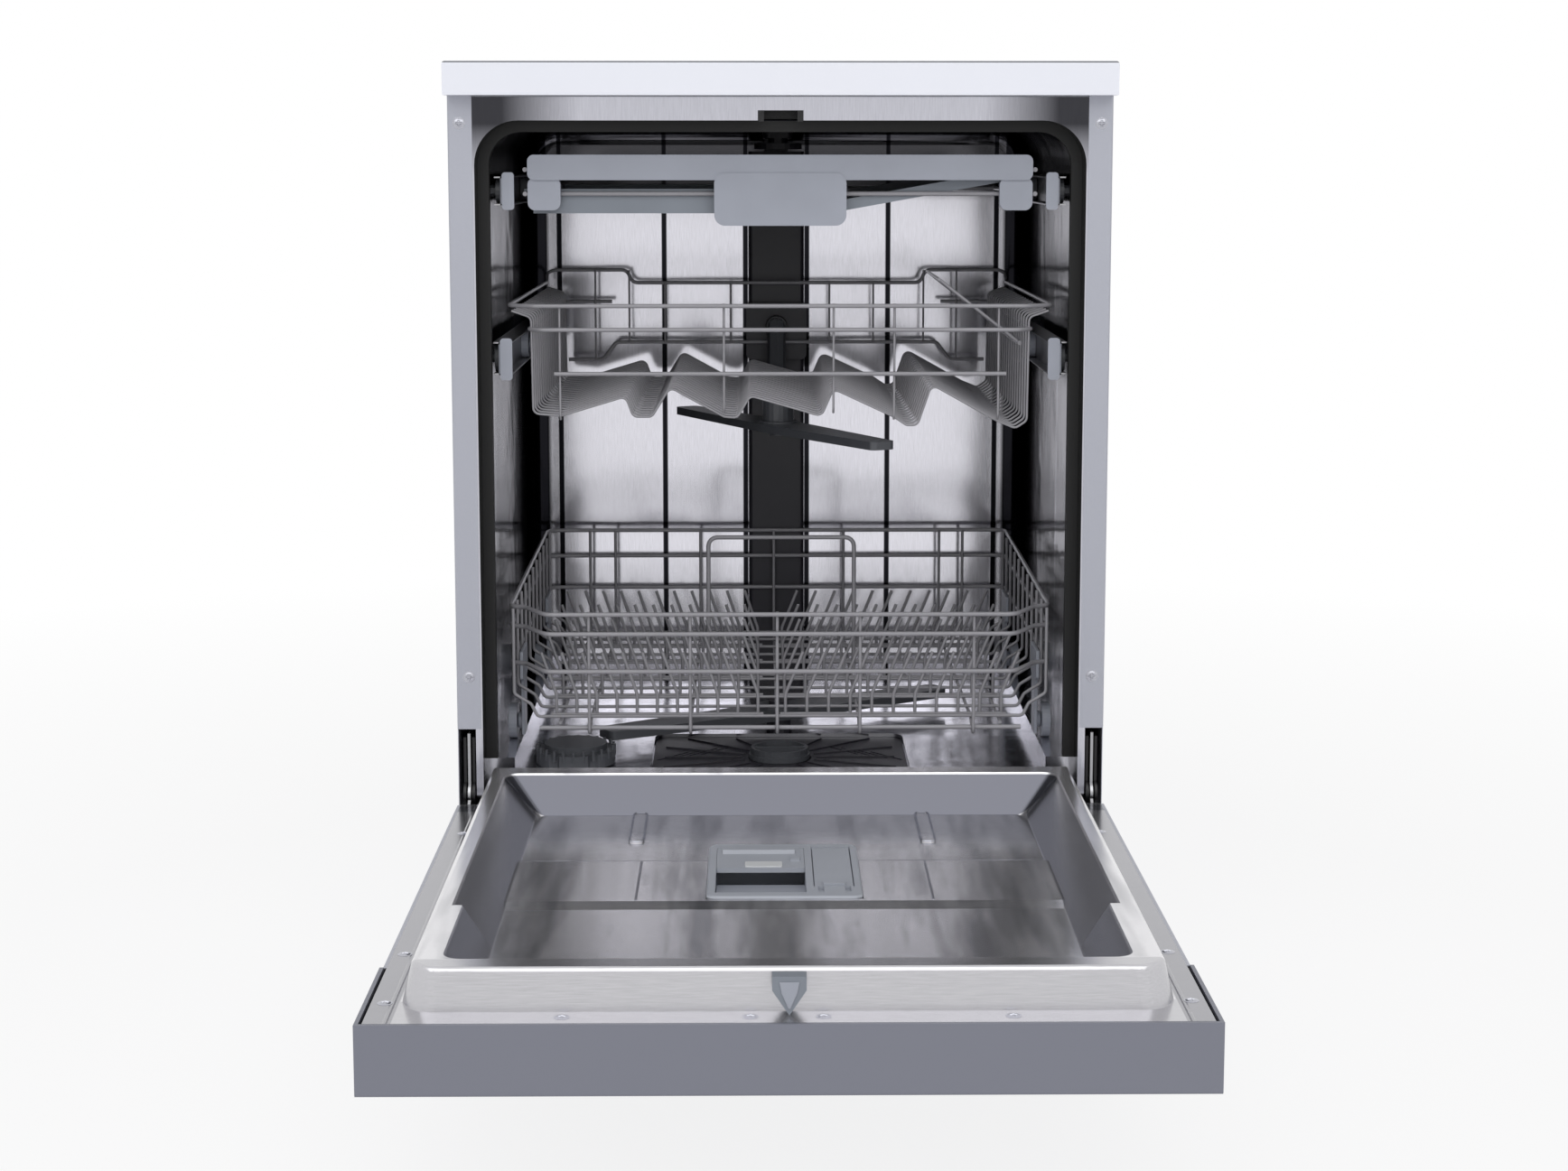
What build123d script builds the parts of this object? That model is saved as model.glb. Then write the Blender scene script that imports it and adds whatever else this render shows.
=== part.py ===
from build123d import *
import math
import os

# Free-standing dishwasher with its door folded down. X is to the right, Y to the back, Z up from
# the floor, and the front faces of the cabinet's side flanges lie at Y = 0. Millimetres.

# Cabinet
body_width = 598
body_depth = 543
body_height = 815
panel_sheet = 0.7
panel_flange = 22
panel_foot_gap = 12
panel_bend = 2
worktop_thickness = 30
worktop_side_reach = 1
worktop_front_reach = 28
worktop_rear_reach = 2
worktop_edge = 3
tray_wall = 2.5
tray_bottom = 18
tray_top = 165
tray_front = 82
toe_front = 47
toe_top = 96
kick_sheet = 0.8
kick_bottom = 8
foot_radius = 20
foot_pad = 9
foot_spindle = 5
foot_x = body_width / 2 - 49
front_foot_y = 72
rear_foot_y = body_depth - 48

# Tub, and the spaces round it inside the cabinet
tub_side_space = 23.5
tub_top_space = 22
tub_rear_space = 3
tub_half = body_width / 2 - tub_side_space
tub_width = 2 * tub_half
tub_ceiling = body_height - tub_top_space
tub_depth = body_depth - tub_rear_space
tub_sheet = 0.6
mouth_radius = 40
rear_radius = 20
mouth_flange = 12.5
ledge_level = 201
ledge_width = 26
floor_level = 183
well_level = 178
well_width = 248
well_front = 40
well_rear = 214
sill_y = 33
lip_bottom = 171
seal_width = 10
seal_depth = 11

# Door, measured as it lies open
hinge_y = 3
hinge_z = 174
door_half = body_width / 2 - 1
door_sheet = 0.7
door_end = -635
door_heel = 46
door_face = 117
door_inside = 169
fascia_length = 130
fascia_half = door_half + 2.5
fascia_wall = 3
liner_sheet = 0.6
liner_half = door_half - 3
rim_foot_half = tub_half - 1.5
rim_top_half = rim_foot_half - 8
rim_top = 200
rim_near = -608
rim_strip = 12
basin_level = 165
basin_half = rim_foot_half - 51
arm_x = door_half - 11
arm_sheet = 2.5
arm_lever = 58
pin_radius = 5

# Runners and wheels
wheel_radius = 17
wheel_width = 8
rail_front = 42
rail_rear = tub_depth - 40
rail_sheet = 1.2
stop_pin = 1.8
stop_barrel = 3.4
stop_blade = 4
stop_reach = 10
stop_offset = 0.9

# Clearances
fit = 0.05
seat = 0.3
run = 0.4
wheel_play = 0.5

# Wire
heavy_wire = 4.4
light_wire = 3.2
wave_wire = 3

nodes = {}


def block(x0, x1, y0, y1, z0, z1):
    return Pos((x0 + x1) / 2, (y0 + y1) / 2, (z0 + z1) / 2) * Box(x1 - x0, y1 - y0, z1 - z0)


def closed_face(outline, radius=0):
    if radius:
        return make_face(FilletPolyline(*outline, radius=radius, close=True))
    return make_face(Polyline(*outline, close=True))


# An outline of (y, z) points pushed along X, of (x, z) points along Y, and of (x, y) points up
def push_x(face, x0, x1):
    return extrude(Plane.YZ.offset(x0) * face, x1 - x0)


def push_y(face, y0, y1):
    return extrude(Plane.XZ.offset(-y1) * face, y1 - y0)


def push_z(face, z0, z1):
    return extrude(Plane.XY.offset(z0) * face, z1 - z0)


def sheet_face(points, thickness, side, radius=0):
    line = FilletPolyline(*points, radius=radius) if radius else Polyline(*points)
    return make_face(offset(line, amount=thickness, side=side).edges())


# Rods along Z, X and Y. They are round, or have flat sides where nothing turns on them
def rod_face(radius, sides):
    return RegularPolygon(radius, sides) if sides else Circle(radius)


def disc(radius, low, high, x=0, y=0, sides=0):
    return push_z(Pos(x, y) * rod_face(radius, sides), low, high)


def axle(radius, x0, x1, y, z, sides=0):
    return push_x(Pos(y, z) * rod_face(radius, sides), x0, x1)


def bore_y(radius, y0, y1, x, z, sides=0):
    return push_y(Pos(x, z) * rod_face(radius, sides), y0, y1)


# A bent wire with flat sides, mitred where it turns
def wire(points, diameter, sides=6):
    path = Polyline(*points)
    section = Plane(origin=path @ 0, z_dir=path % 0) * RegularPolygon(diameter / 2, sides)
    return sweep(section, path=path, transition=Transition.RIGHT)


def mirrored(solid):
    return mirror(solid, about=Plane.YZ)


def both_sides(solid):
    return [solid, mirrored(solid)]


def add(name, *solids):
    flat = []
    for item in solids:
        flat += item if isinstance(item, list) else [item]
    nodes.setdefault(name, []).extend(flat)


def add_pair(name, right):
    add(name + "_right", right)
    add(name + "_left", mirrored(right))


# Worktop: a board with eased edges that oversails the front
def worktop():
    half = body_width / 2 + worktop_side_reach
    board = block(-half, half, -worktop_front_reach, body_depth + worktop_rear_reach,
                  body_height, body_height + worktop_thickness)
    top = board.faces().sort_by(Axis.Z)[-1]
    return fillet(top.edges(), worktop_edge)


# Side panels: sheet folded in at the front and the rear, cut away at the hinge
def side_panel():
    half = body_width / 2
    rear = body_depth - panel_sheet
    outline = [(half - panel_flange, -panel_sheet), (half, -panel_sheet), (half, rear),
               (half - panel_flange, rear)]
    sheet = push_z(sheet_face(outline, panel_sheet, Side.LEFT, panel_bend), panel_foot_gap,
                   body_height)
    hinge_cut = block(half - panel_flange - 1, half + 1, -2, panel_bend + 1, 0, lever_top + 4)
    rear_cut = block(half - panel_flange - 1, half - panel_sheet - 2, rear - 2, rear + 1, 0,
                     tray_top)
    return sheet - hinge_cut - rear_cut


lever_top = hinge_z + arm_lever


def rear_panel():
    half = body_width / 2 - panel_sheet - seat
    sheet = block(-half, half, body_depth - panel_sheet, body_depth, tray_top + seat,
                  body_height - seat)
    slots = [block(x - 3, x + 3, body_depth - 2, body_depth + 1, 210, 270)
             for x in range(-105, 106, 30)]
    return sheet - slots


# Crossbar over the tub's mouth, with a gap for the lock
def front_crossbar():
    low = tub_ceiling + 6
    high = body_height - seat
    outline = [(1.2, low), (1.2, high), (34, high), (34, low)]
    channel = push_x(sheet_face(outline, 1.2, Side.RIGHT), -body_width / 2 + 1, body_width / 2 - 1)
    return channel - block(-lock_half - 1, lock_half + 1, 0, 48, low - 1, lock_top + seat)


lock_half = 24
slot_half = 20.5
lock_top = body_height - 4
lock_bottom = tub_ceiling + tub_sheet + 1


# Base tray: an open moulding that holds the pumps and carries the feet
def base_tray():
    half = body_width / 2 - panel_sheet - run
    rear = body_depth - panel_sheet - 2
    outer = closed_face([(toe_front, tray_bottom), (rear, tray_bottom), (rear, tray_top),
                         (tray_front, tray_top), (tray_front, toe_top), (toe_front, toe_top)])
    floor = tray_bottom + tray_wall
    inner = closed_face([(toe_front + tray_wall, floor), (rear - tray_wall, floor),
                         (rear - tray_wall, tray_top + 1), (tray_front + tray_wall, tray_top + 1),
                         (tray_front + tray_wall, toe_top - tray_wall),
                         (toe_front + tray_wall, toe_top - tray_wall)])
    tray = push_x(outer, -half, half) - push_x(inner, -half + tray_wall, half - tray_wall)
    for x in (-foot_x, foot_x):
        tray += disc(16, floor - 0.5, 62, x, front_foot_y, 16)
        tray -= disc(foot_spindle + fit, 0, 63, x, front_foot_y)
    for x in (-1, 1):
        shelf_in = x * (half - tray_wall - 16)
        shelf_out = x * (half - tray_wall + 0.5)
        tray += block(min(shelf_in, shelf_out), max(shelf_in, shelf_out), tray_front + 1, 118,
                      bracket_foot - 8, bracket_foot)
    return tray


bracket_foot = 110


def kick_plate():
    half = body_width / 2 - 2
    outline = [(toe_front + 14, toe_top + 1), (toe_front - 3, toe_top + 1),
               (toe_front - 3, kick_bottom), (toe_front + 2, kick_bottom)]
    return push_x(sheet_face(outline, kick_sheet, Side.LEFT), -half, half)


# Front feet screw up and down in the tray's bosses; the rear feet are pressed on
def front_foot(x):
    foot = disc(foot_radius, 0, foot_pad, x, front_foot_y)
    foot = chamfer(foot.edges().sort_by(Axis.Z)[-1], 2)
    hexagon = push_z(Pos(x, front_foot_y) * RegularPolygon(9, 6), foot_pad - 0.5, foot_pad + 5)
    return foot + hexagon + disc(foot_spindle, foot_pad, 56, x, front_foot_y)


def rear_foot(x):
    return chamfer(disc(foot_radius, 0, tray_bottom, x, rear_foot_y).edges().sort_by(Axis.Z)[-1], 3)


# Tub mouth and its sections: straight sides, rounded top corners
def mouth_face(grow, bottom):
    half = tub_width / 2 + grow
    top = tub_ceiling + grow
    arch = FilletPolyline((-half, bottom), (-half, top), (half, top), (half, bottom),
                          radius=mouth_radius + grow)
    return make_face([*arch.edges(), Line((half, bottom), (-half, bottom))])


# Tub wrap: two folded sheets and the strip that joins them behind the lock's slot
def tub_wrap():
    shell_bottom = ledge_level - tub_sheet
    rear = tub_depth - rear_radius
    walls = push_y(mouth_face(tub_sheet, shell_bottom), 0, rear)
    walls += push_y(mouth_face(tub_sheet, lip_bottom), 0, sill_y)
    walls -= push_y(mouth_face(0, 100), -1, rear + 1)
    half = tub_width / 2 + mouth_flange
    flange = block(-half, half, 0, tub_sheet, lever_top + 4, body_height - 1)
    low_half = arm_x - 5
    flange += block(-low_half, low_half, 0, tub_sheet, lip_bottom, lever_top + 4)
    flange -= push_y(mouth_face(0, 100), -1, 2)
    tub = walls + flange - block(-slot_half, slot_half, -1, 40, tub_ceiling - 1, tub_ceiling + 9)
    middle = block(-slot_half, slot_half, -1, rear + 1, tub_ceiling - 1, body_height)
    return [tub - middle, tub & middle]


# The tub's cross-section with the basket ledges, for the pressed rear wall
def tub_outline(grow):
    half = tub_width / 2 + grow
    top = tub_ceiling + grow
    ledge = ledge_level - grow
    inner = tub_width / 2 - ledge_width + grow
    arch = FilletPolyline((-half, ledge), (-half, top), (half, top), (half, ledge),
                          radius=mouth_radius + grow)
    rest = Polyline((half, ledge), (inner, ledge), (inner, floor_level - grow),
                    (-inner, floor_level - grow), (-inner, ledge), (-half, ledge))
    return make_face([*arch.edges(), *rest.edges()])


def tub_rear_wall():
    front = tub_depth - rear_radius
    shells = []
    for grow in (tub_sheet, 0):
        pan = push_y(mouth_face(grow, 100), front - 10, tub_depth + grow)
        back = [e for e in pan.edges().group_by(Axis.Y)[-1] if e.bounding_box().max.Z > 105]
        rounded = fillet(back, rear_radius + grow)
        shells.append(rounded & push_y(tub_outline(grow), front, tub_depth + grow + 1))
    wall = shells[0] - shells[1]
    ribs = [block(x - 3, x + 3, tub_depth - 1.5, tub_depth + 0.3, floor_level + 30,
                  tub_ceiling - rear_radius - 10) for x in (-240, -124, 124, 244)]
    return wall + ribs


# Floor pressing: ledges for the lower basket's wheels, the sloping floor and the filter well
def tub_floor():
    half = tub_width / 2
    inner = half - ledge_width
    rear = tub_depth - rear_radius
    outline = [(-half, ledge_level), (-inner, ledge_level), (-inner, floor_level),
               (inner, floor_level), (inner, ledge_level), (half, ledge_level)]
    pan = push_y(sheet_face(outline, tub_sheet, Side.RIGHT), sill_y, rear)
    lip = block(-half, half, sill_y, sill_y + tub_sheet, lip_bottom, floor_level - tub_sheet)
    ledge_fronts = [block(s * inner if s > 0 else -half, half if s > 0 else -inner, sill_y,
                          sill_y + tub_sheet, floor_level - tub_sheet, ledge_level - tub_sheet)
                    for s in (-1, 1)]
    pan += [lip, *ledge_fronts]
    well = Pos(0, (well_front + well_rear) / 2) * RectangleRounded(
        well_width, well_rear - well_front, 15)
    well_skin = Pos(0, (well_front + well_rear) / 2) * RectangleRounded(
        well_width + 2 * tub_sheet, well_rear - well_front + 2 * tub_sheet, 15 + tub_sheet)
    pan += push_z(well_skin, well_level - tub_sheet, floor_level)
    pan -= push_z(well, well_level, floor_level + 1)
    pan -= disc(sump_neck, 150, 200, 0, filter_y)
    pan -= disc(post_radius + 2, 150, 200, 0, hub_y)
    pan -= disc(cap_neck + 1, 150, 200, cap_x, cap_y)
    return pan


sump_neck = 62
filter_y = 125
hub_y = 240
post_radius = 13
cap_x = 79.5 - tub_half
cap_y = 90
cap_neck = 28
cap_radius = 38


# Rubber door seal in the mouth of the tub and the lip that the door closes against
def tub_seals():
    front = sill_y - 3
    ring = push_y(mouth_face(-fit, ledge_level + seat), front, front + seal_depth)
    inside = mouth_face(-seal_width, 150)
    ring -= push_y(inside, front - 1, front + seal_depth + 1)
    groove = push_y(mouth_face(-seal_width + 3, 150) - mouth_face(-seal_width - 3, 150),
                    front + 4, front + 7)
    sill = block(-tub_width / 2 + 3, tub_width / 2 - 3, sill_y - 2.8, sill_y, lip_bottom + 1,
                 floor_level - 3)
    return [ring - groove, sill]


# Door lock behind the slot in the mouth's flange
def door_lock():
    box = block(-lock_half, lock_half, 1.2, 46, lock_bottom, lock_top)
    box += block(-20, 20, -0.6, 2, tub_ceiling - 1, tub_ceiling + 8.5)
    slot = block(-15, 15, -2, 34, tub_ceiling - 10, lock_bottom + 10)
    return box - slot


# Hinge brackets: two plates and a web, with the pin that carries the door arm between them
def hinge_bracket():
    outline = [(0, hinge_z + 4), (0, lever_top - 4), (74, lever_top - 4), (112, 205),
               (112, bracket_foot), (88, bracket_foot), (88, 170), (82, hinge_z - 1),
               (12, hinge_z - 1)]
    plate = closed_face(outline) + Pos(hinge_y, hinge_z) * Circle(12)
    inner = push_x(plate, arm_x - 4, arm_x - 1.5)
    outer = push_x(plate, arm_x + arm_sheet + 1.5, arm_x + arm_sheet + 4)
    web = block(arm_x - 4, arm_x + arm_sheet + 4, 109.5, 112, bracket_foot, 195)
    pin = axle(pin_radius, arm_x - 2, arm_x + arm_sheet + 2, hinge_y, hinge_z)
    return inner + outer + web + pin


# Door arms: a plate inside the door, the eye on the pin, and the lever that the spring pulls
def hinge_arm():
    low = door_face + 14
    base = closed_face([(-190, low), (-40, low), (-6, hinge_z - 12), (hinge_y + 6, hinge_z),
                        (hinge_y - 6, hinge_z), (-16, door_inside - 6), (-60, door_inside - 12),
                        (-190, low + 18)])
    lever = closed_face([(hinge_y - 5, hinge_z), (hinge_y + 5, hinge_z), (hinge_y + 5, lever_top),
                         (hinge_y - 5, lever_top)])
    eye = Pos(hinge_y, hinge_z) * Circle(11)
    shape = base + lever + eye - Pos(hinge_y, hinge_z) * Circle(pin_radius + fit)
    return push_x(shape, arm_x, arm_x + arm_sheet)


# Springs that balance the door, from the lever's end back to the base
def door_spring():
    start = Vector(arm_x + arm_sheet / 2, hinge_y + 5.6, lever_top - 6)
    end = Vector(arm_x + arm_sheet / 2, 330, 150)
    line = end - start
    tube = Plane(origin=start + line * 0.38, z_dir=line) * Cylinder(
        3.5, line.length * 0.5, align=(Align.CENTER, Align.CENTER, Align.MIN))
    hooks = [wire([start, start + line * 0.39], 2.4), wire([start + line * 0.87, end], 2.4)]
    return tube + hooks


# Rear spray duct with the docking port, and the ceiling pipe with its nozzle
duct_half = 30.5
duct_front = tub_depth - 25
duct_top = tub_ceiling - 27
dock_z = tub_ceiling - 217
dock_bore = 12


def spray_duct():
    body = push_z(Pos(0, (duct_front + tub_depth) / 2 - 0.5) * RectangleRounded(
        2 * duct_half, tub_depth - duct_front - 2, 5), floor_level + seat, duct_top)
    dock = push_y(Pos(0, dock_z - 6) * RectangleRounded(66, 62, 6), duct_front - 11, duct_front + 3)
    dock -= bore_y(dock_bore, duct_front - 13, duct_front - 3, 0, dock_z)
    return body + dock


nozzle_y = 290


def ceiling_nozzle():
    near = nozzle_y - 12
    far = duct_front + 13
    pipe = push_z(Pos(0, (near + far) / 2) * RectangleRounded(30, far - near, 8), duct_top + 13,
                  tub_ceiling - 4)
    elbow = block(-13, 13, far - 12, far, duct_top + fit, duct_top + 20)
    rose = disc(24, duct_top + 2, duct_top + 8, 0, nozzle_y, 24)
    neck = disc(10, duct_top + 8, tub_ceiling, 0, nozzle_y, 16)
    return pipe + elbow + rose + neck


# Sump below the filter well, with the spindle of the lower spray arm
arm_level = 196
arm_hub = 12


def sump():
    bowl = disc(36, 60, tray_top + 4, 0, filter_y, 24)
    bowl += disc(sump_neck + 12, tray_top + 1, well_level - tub_sheet - seat, 0, filter_y, 32)
    feed = block(-34, 34, filter_y, hub_y + 30, 90, tray_top - 1)
    post = disc(post_radius, tray_top - 5, arm_level - seat, 0, hub_y, 16)
    pin = disc(6, arm_level - 1, arm_level + 15, 0, hub_y)
    cap = disc(10, arm_level + arm_hub + seat, arm_level + 16, 0, hub_y, 16)
    bowl += [feed, post, pin, cap]
    bowl -= disc(filter_radius + fit, 100, 200, 0, filter_y)
    bowl -= disc(sump_neck - 6, tray_top + 4, 200, 0, filter_y, 32)
    return bowl


filter_radius = 27


def filter_plate():
    plate = Pos(0, (well_front + well_rear) / 2) * RectangleRounded(
        well_width - 2, well_rear - well_front - 2, 14)
    sheet = push_z(plate, well_level + 0.1, well_level + 1.3)
    sheet -= disc(filter_radius + 4, 100, 200, 0, filter_y, 24)
    for x in (-45, 45):
        sheet -= disc(4, 100, 200, x, filter_y - 12, 8)
    for side in (-1, 1):
        for i in range(4):
            slot = Pos(side * (62 + 14 * i), filter_y + 30 - 8 * i) * Rot(0, 0, side * 40) * \
                Rectangle(3, 46)
            sheet -= push_z(slot, 100, 200)
    return sheet


def filter_cylinder():
    body = disc(filter_radius, 104, well_level + 2, 0, filter_y)
    body += disc(filter_radius + 3, well_level + 1.6, well_level + 6, 0, filter_y, 24)
    grip = disc(filter_radius + 1, well_level + 5, well_level + 12, 0, filter_y, 24)
    grip -= disc(filter_radius - 2, well_level + 4, well_level + 13, 0, filter_y, 24)
    bar = block(-filter_radius + 1, filter_radius - 1, filter_y - 2, filter_y + 2,
                well_level + 5, well_level + 12)
    hollow = disc(filter_radius - 3, 100, well_level + 3, 0, filter_y, 24)
    return body + grip + bar - hollow


def softener_tank():
    body = push_z(Pos(cap_x - 14, 150) * RectangleRounded(108, 126, 12), 64, floor_level - 8)
    body += disc(cap_neck, tray_top + 2, floor_level + 4, cap_x, cap_y)
    body -= disc(cap_neck - 5, 100, 220, cap_x, cap_y, 16)
    body += block(cap_x - 40, cap_x + 40, 90, 150, tray_bottom + tray_wall + 0.1, 66)
    return body


def salt_cap():
    low = floor_level + 1
    rim = disc(cap_radius, low, low + 13, cap_x, cap_y, 36)
    reach = cap_radius + 3
    notches = [disc(7, low - 1, low + 20, cap_x + reach * math.cos(math.radians(a)),
                    cap_y + reach * math.sin(math.radians(a)), 8) for a in range(0, 360, 60)]
    top = disc(cap_radius - 8, low + 12, low + 19, cap_x, cap_y, 24)
    inside = disc(cap_neck + 2 * fit + 0.3, low - 1, low + 6, cap_x, cap_y)
    return rim + top - notches - inside


# Pumps in the base tray
def wash_pump():
    motor = axle(40, 30, 140, 330, 82, 24)
    volute = axle(50, 0, 32, 330, 82, 24)
    outlet = bore_y(15, hub_y + 30, 310, 16, 110, 16)
    foot = block(60, 130, 305, 355, tray_bottom + tray_wall + 0.1, 60)
    return motor + volute + outlet + foot


def drain_pump():
    body = axle(26, -150, -62, 150, 62, 20)
    spout = axle(12, -64, -sump_neck + 2, 150, 78, 12)
    foot = block(-130, -90, 135, 165, tray_bottom + tray_wall + 0.1, 45)
    return body + spout + foot


# Flat air-break tank between the tub and the left side panel
def air_break_tank():
    body = push_x(Pos(300, 455) * RectangleRounded(330, 380, 30), -body_width / 2 + panel_sheet +
                  seat, -tub_width / 2 - tub_sheet - 4)
    grooves = [push_x(Pos(300, z) * Rectangle(260, 8), -282, -275)
               for z in range(320, 621, 60)]
    return body - grooves


stub_end = body_depth + 12


# Inlet stub, drain outlet and cable gland at the tray's rear
def rear_fittings():
    rear = body_depth - panel_sheet - 2
    inlet = bore_y(13, rear + fit, rear + 14, -200, 70, 20)
    inlet -= bore_y(9, rear + 4, rear + 15, -200, 70, 16)
    drain = bore_y(11, rear + fit, stub_end, 200, 70, 20)
    drain -= bore_y(8, rear - 1, stub_end + 1, 200, 70, 16)
    gland = bore_y(9, rear + fit, rear + 8, 120, 60, 16)
    return [inlet, drain, gland]


# A runner of a web and two flanges. The wall's rollers run in its outer groove, the rack's wheels
# in its inner one, and the ears at its front hold the pin of the stop
def runner(z, height, inner_x, web_x, outer_x):
    low = z - height / 2
    high = z + height / 2
    pin_x = web_x + stop_offset
    ear = stop_barrel - 0.2
    flanges = []
    for level in (low, high - rail_sheet):
        top = level + rail_sheet
        flange = block(inner_x, outer_x, rail_front, rail_rear, level, top)
        flange += block(pin_x - ear, pin_x + ear, stop_y, rail_front + 0.5, level, top)
        flanges.append(flange + disc(ear, level, top, pin_x, stop_y, 12))
    web = block(web_x, web_x + rail_sheet, rail_front, rail_rear, low + rail_sheet,
                high - rail_sheet)
    pin = disc(stop_pin, low + rail_sheet + fit, high - rail_sheet - fit, pin_x, stop_y)
    return Compound(children=[*flanges, web, pin])


stop_y = rail_front - stop_barrel - 0.8


# A stop closes the runner's inner groove and swings outward about its upright pin
def rail_stop(z, rail_height, tall, web_x):
    pin_x = web_x + stop_offset
    half = rail_height / 2 - rail_sheet - seat
    back = stop_y - stop_barrel
    stop = disc(stop_barrel, z - half, z + half, pin_x, stop_y)
    stop += block(pin_x - 2.5, pin_x + 2.5, back - 0.5, stop_y, z - half, z + half)
    blade = Pos(pin_x - stop_reach / 2 + 0.5, z) * RectangleRounded(stop_reach + 1, tall, 3)
    stop += push_y(blade, back - stop_blade, back)
    return stop - disc(stop_pin + fit, z - tall, z + tall, pin_x, stop_y)


# A roller that guides the runner, on a stud pressed into the tub's wall
def wall_roller(y, z, height, web_x, outer_x):
    radius = height / 2 - rail_sheet - seat
    inner = web_x + rail_sheet + run
    stud = wire([(inner + 1, y, z), (tub_width / 2, y, z)], 10)
    return stud + axle(radius, inner, outer_x - 0.5, y, z, 20)


upper_rail_z = tub_ceiling - 217
upper_rail_height = 30
upper_inner = tub_half - 28
upper_web = upper_inner + 8.1
upper_outer = upper_inner + 17.3
tray_rail_z = tub_ceiling - 63.4
tray_rail_height = 26
tray_inner = tub_half - 31.5
tray_web = tray_inner + 8
tray_outer = tray_inner + 18
roller_ys = (60, 190)


# Basket wheel on its stub axle
def wheel(radius, x0, x1, y, z, bore):
    return axle(radius, x0, x1, y, z, 24) - axle(bore + fit, x0 - 1, x1 + 1, y, z)


# Lower basket: three rings, cross wires bent to a trough, and wires that run front to back
lb_front = 28
lb_rear = tub_depth - 29
lb_half = tub_half - 20.5
lb_floor = 236
lb_rim = 338
lb_rear_rim = 348
lb_ring_drops = (0, 18.5, 54)
lb_hook_drop = 9
axle_radius = 4
lower_wheel_x = tub_half - 21.5
lower_wheel_z = ledge_level + seat + wheel_radius
cross_wires = 11
cross_first = 54
cross_pitch = (lb_rear - 17 - cross_first) / (cross_wires - 1)
long_shares = (-0.702, -0.331, -0.012, 0.292, 0.71)
long_side_x = lb_half - 48
handle_y = 250.5
handle_top = 378


def cross_y(i):
    return cross_first + i * cross_pitch


lower_wheel_ys = (cross_y(1.5), cross_y(8.5))


def lower_ring(z, rear_z):
    corner = 12
    front_half = lb_half - 35
    right = [(lb_half - corner, lb_rear, rear_z), (lb_half, lb_rear - corner, rear_z),
             (lb_half, lb_front + 22, z), (front_half, lb_front, z)]
    left = [(-x, y, level) for x, y, level in reversed(right)]
    return wire([(0, lb_rear, rear_z), *right, *left, (0, lb_rear, rear_z)], heavy_wire)


# A carrier hangs between two cross wires and holds a wheel's stub axle
def lower_carrier(y, side):
    high = lb_rim - lb_ring_drops[2] + 6
    low = lower_wheel_z - 12
    half = cross_pitch / 2 + 4
    outline = [(y - half, 264), (y - 16, 260), (y - 12, low), (y + 12, low), (y + 16, 260),
               (y + half, 264), (y + half, high), (y - half, high)]
    carrier = push_x(closed_face(outline), side - 5, side - 2)
    carrier += axle(8, side - 3, lower_wheel_x - seat, y, lower_wheel_z, 12)
    return carrier + axle(axle_radius, side - 4, lower_wheel_x + wheel_width + 1, y,
                          lower_wheel_z, 12)


def lower_basket():
    touch = (heavy_wire + light_wire) / 2
    side = lb_half - touch
    rear_rise = lb_rear_rim - lb_rim
    solids = [lower_ring(lb_rim - drop, lb_rim - drop + (0 if drop else rear_rise))
              for drop in lb_ring_drops]
    for i in range(cross_wires):
        y = cross_y(i)
        top = lb_rim + 1 + rear_rise * (y - lb_front) / (lb_rear - lb_front)
        right = [(side - 22, y, lb_floor), (side - 16, y, 248), (side, y, 258), (side, y, top)]
        left = [(-x, y, z) for x, y, z in reversed(right)]
        solids.append(wire([*left, *right], light_wire, 4))
    low = lb_floor - light_wire
    hook = low - lb_hook_drop
    front = lb_front + touch
    rear = lb_rear - touch
    for x in [share * lb_half for share in long_shares]:
        solids.append(wire([(x, front, lb_rim + 2), (x, front, hook), (x, front + 12, hook),
                            (x, front + 24, low), (x, rear, low), (x, rear, lb_rear_rim)],
                           light_wire, 4))
    for x in (-long_side_x, long_side_x):
        solids.append(wire([(x, front + 8, low), (x, rear, low), (x, rear, lb_rear_rim)],
                           light_wire, 4))
    solids.append(wire([(29 - lb_half, front + touch + 0.4, low - touch),
                        (lb_half - 29, front + touch + 0.4, low - touch)], heavy_wire))
    foot = low + touch
    solids.append(wire([(0, handle_y, foot), (76.6, handle_y, foot), (76.6, handle_y, handle_top),
                        (-71, handle_y, handle_top), (-71, handle_y, foot), (0, handle_y, foot)],
                       heavy_wire))
    for y in lower_wheel_ys:
        solids += both_sides(lower_carrier(y, side))
    return solids


# Plate tines in rows: each tine stands on its rod and leans outward above its bend
comb_rows = 5
comb_first = 64
comb_tines = 11
tine_bend = 255
tine_tip = 295


def tine_comb(first, last, y, lean):
    comb = [wire([(first - 5, y, lb_floor), (last + 5, y, lb_floor)], light_wire, 4)]
    for i in range(comb_tines):
        x = first + i * (last - first) / (comb_tines - 1)
        comb.append(wire([(x, y, lb_floor + light_wire / 2), (x, y, tine_bend),
                          (x + lean, y, tine_tip)], light_wire, 4))
    return comb


def plate_tines():
    combs = []
    for i in range(comb_rows):
        y = comb_first + i * 2 * cross_pitch
        combs += tine_comb(43 - lb_half, -21, y, -14) + tine_comb(5, lb_half - 45, y, 16.5)
    return combs


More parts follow.
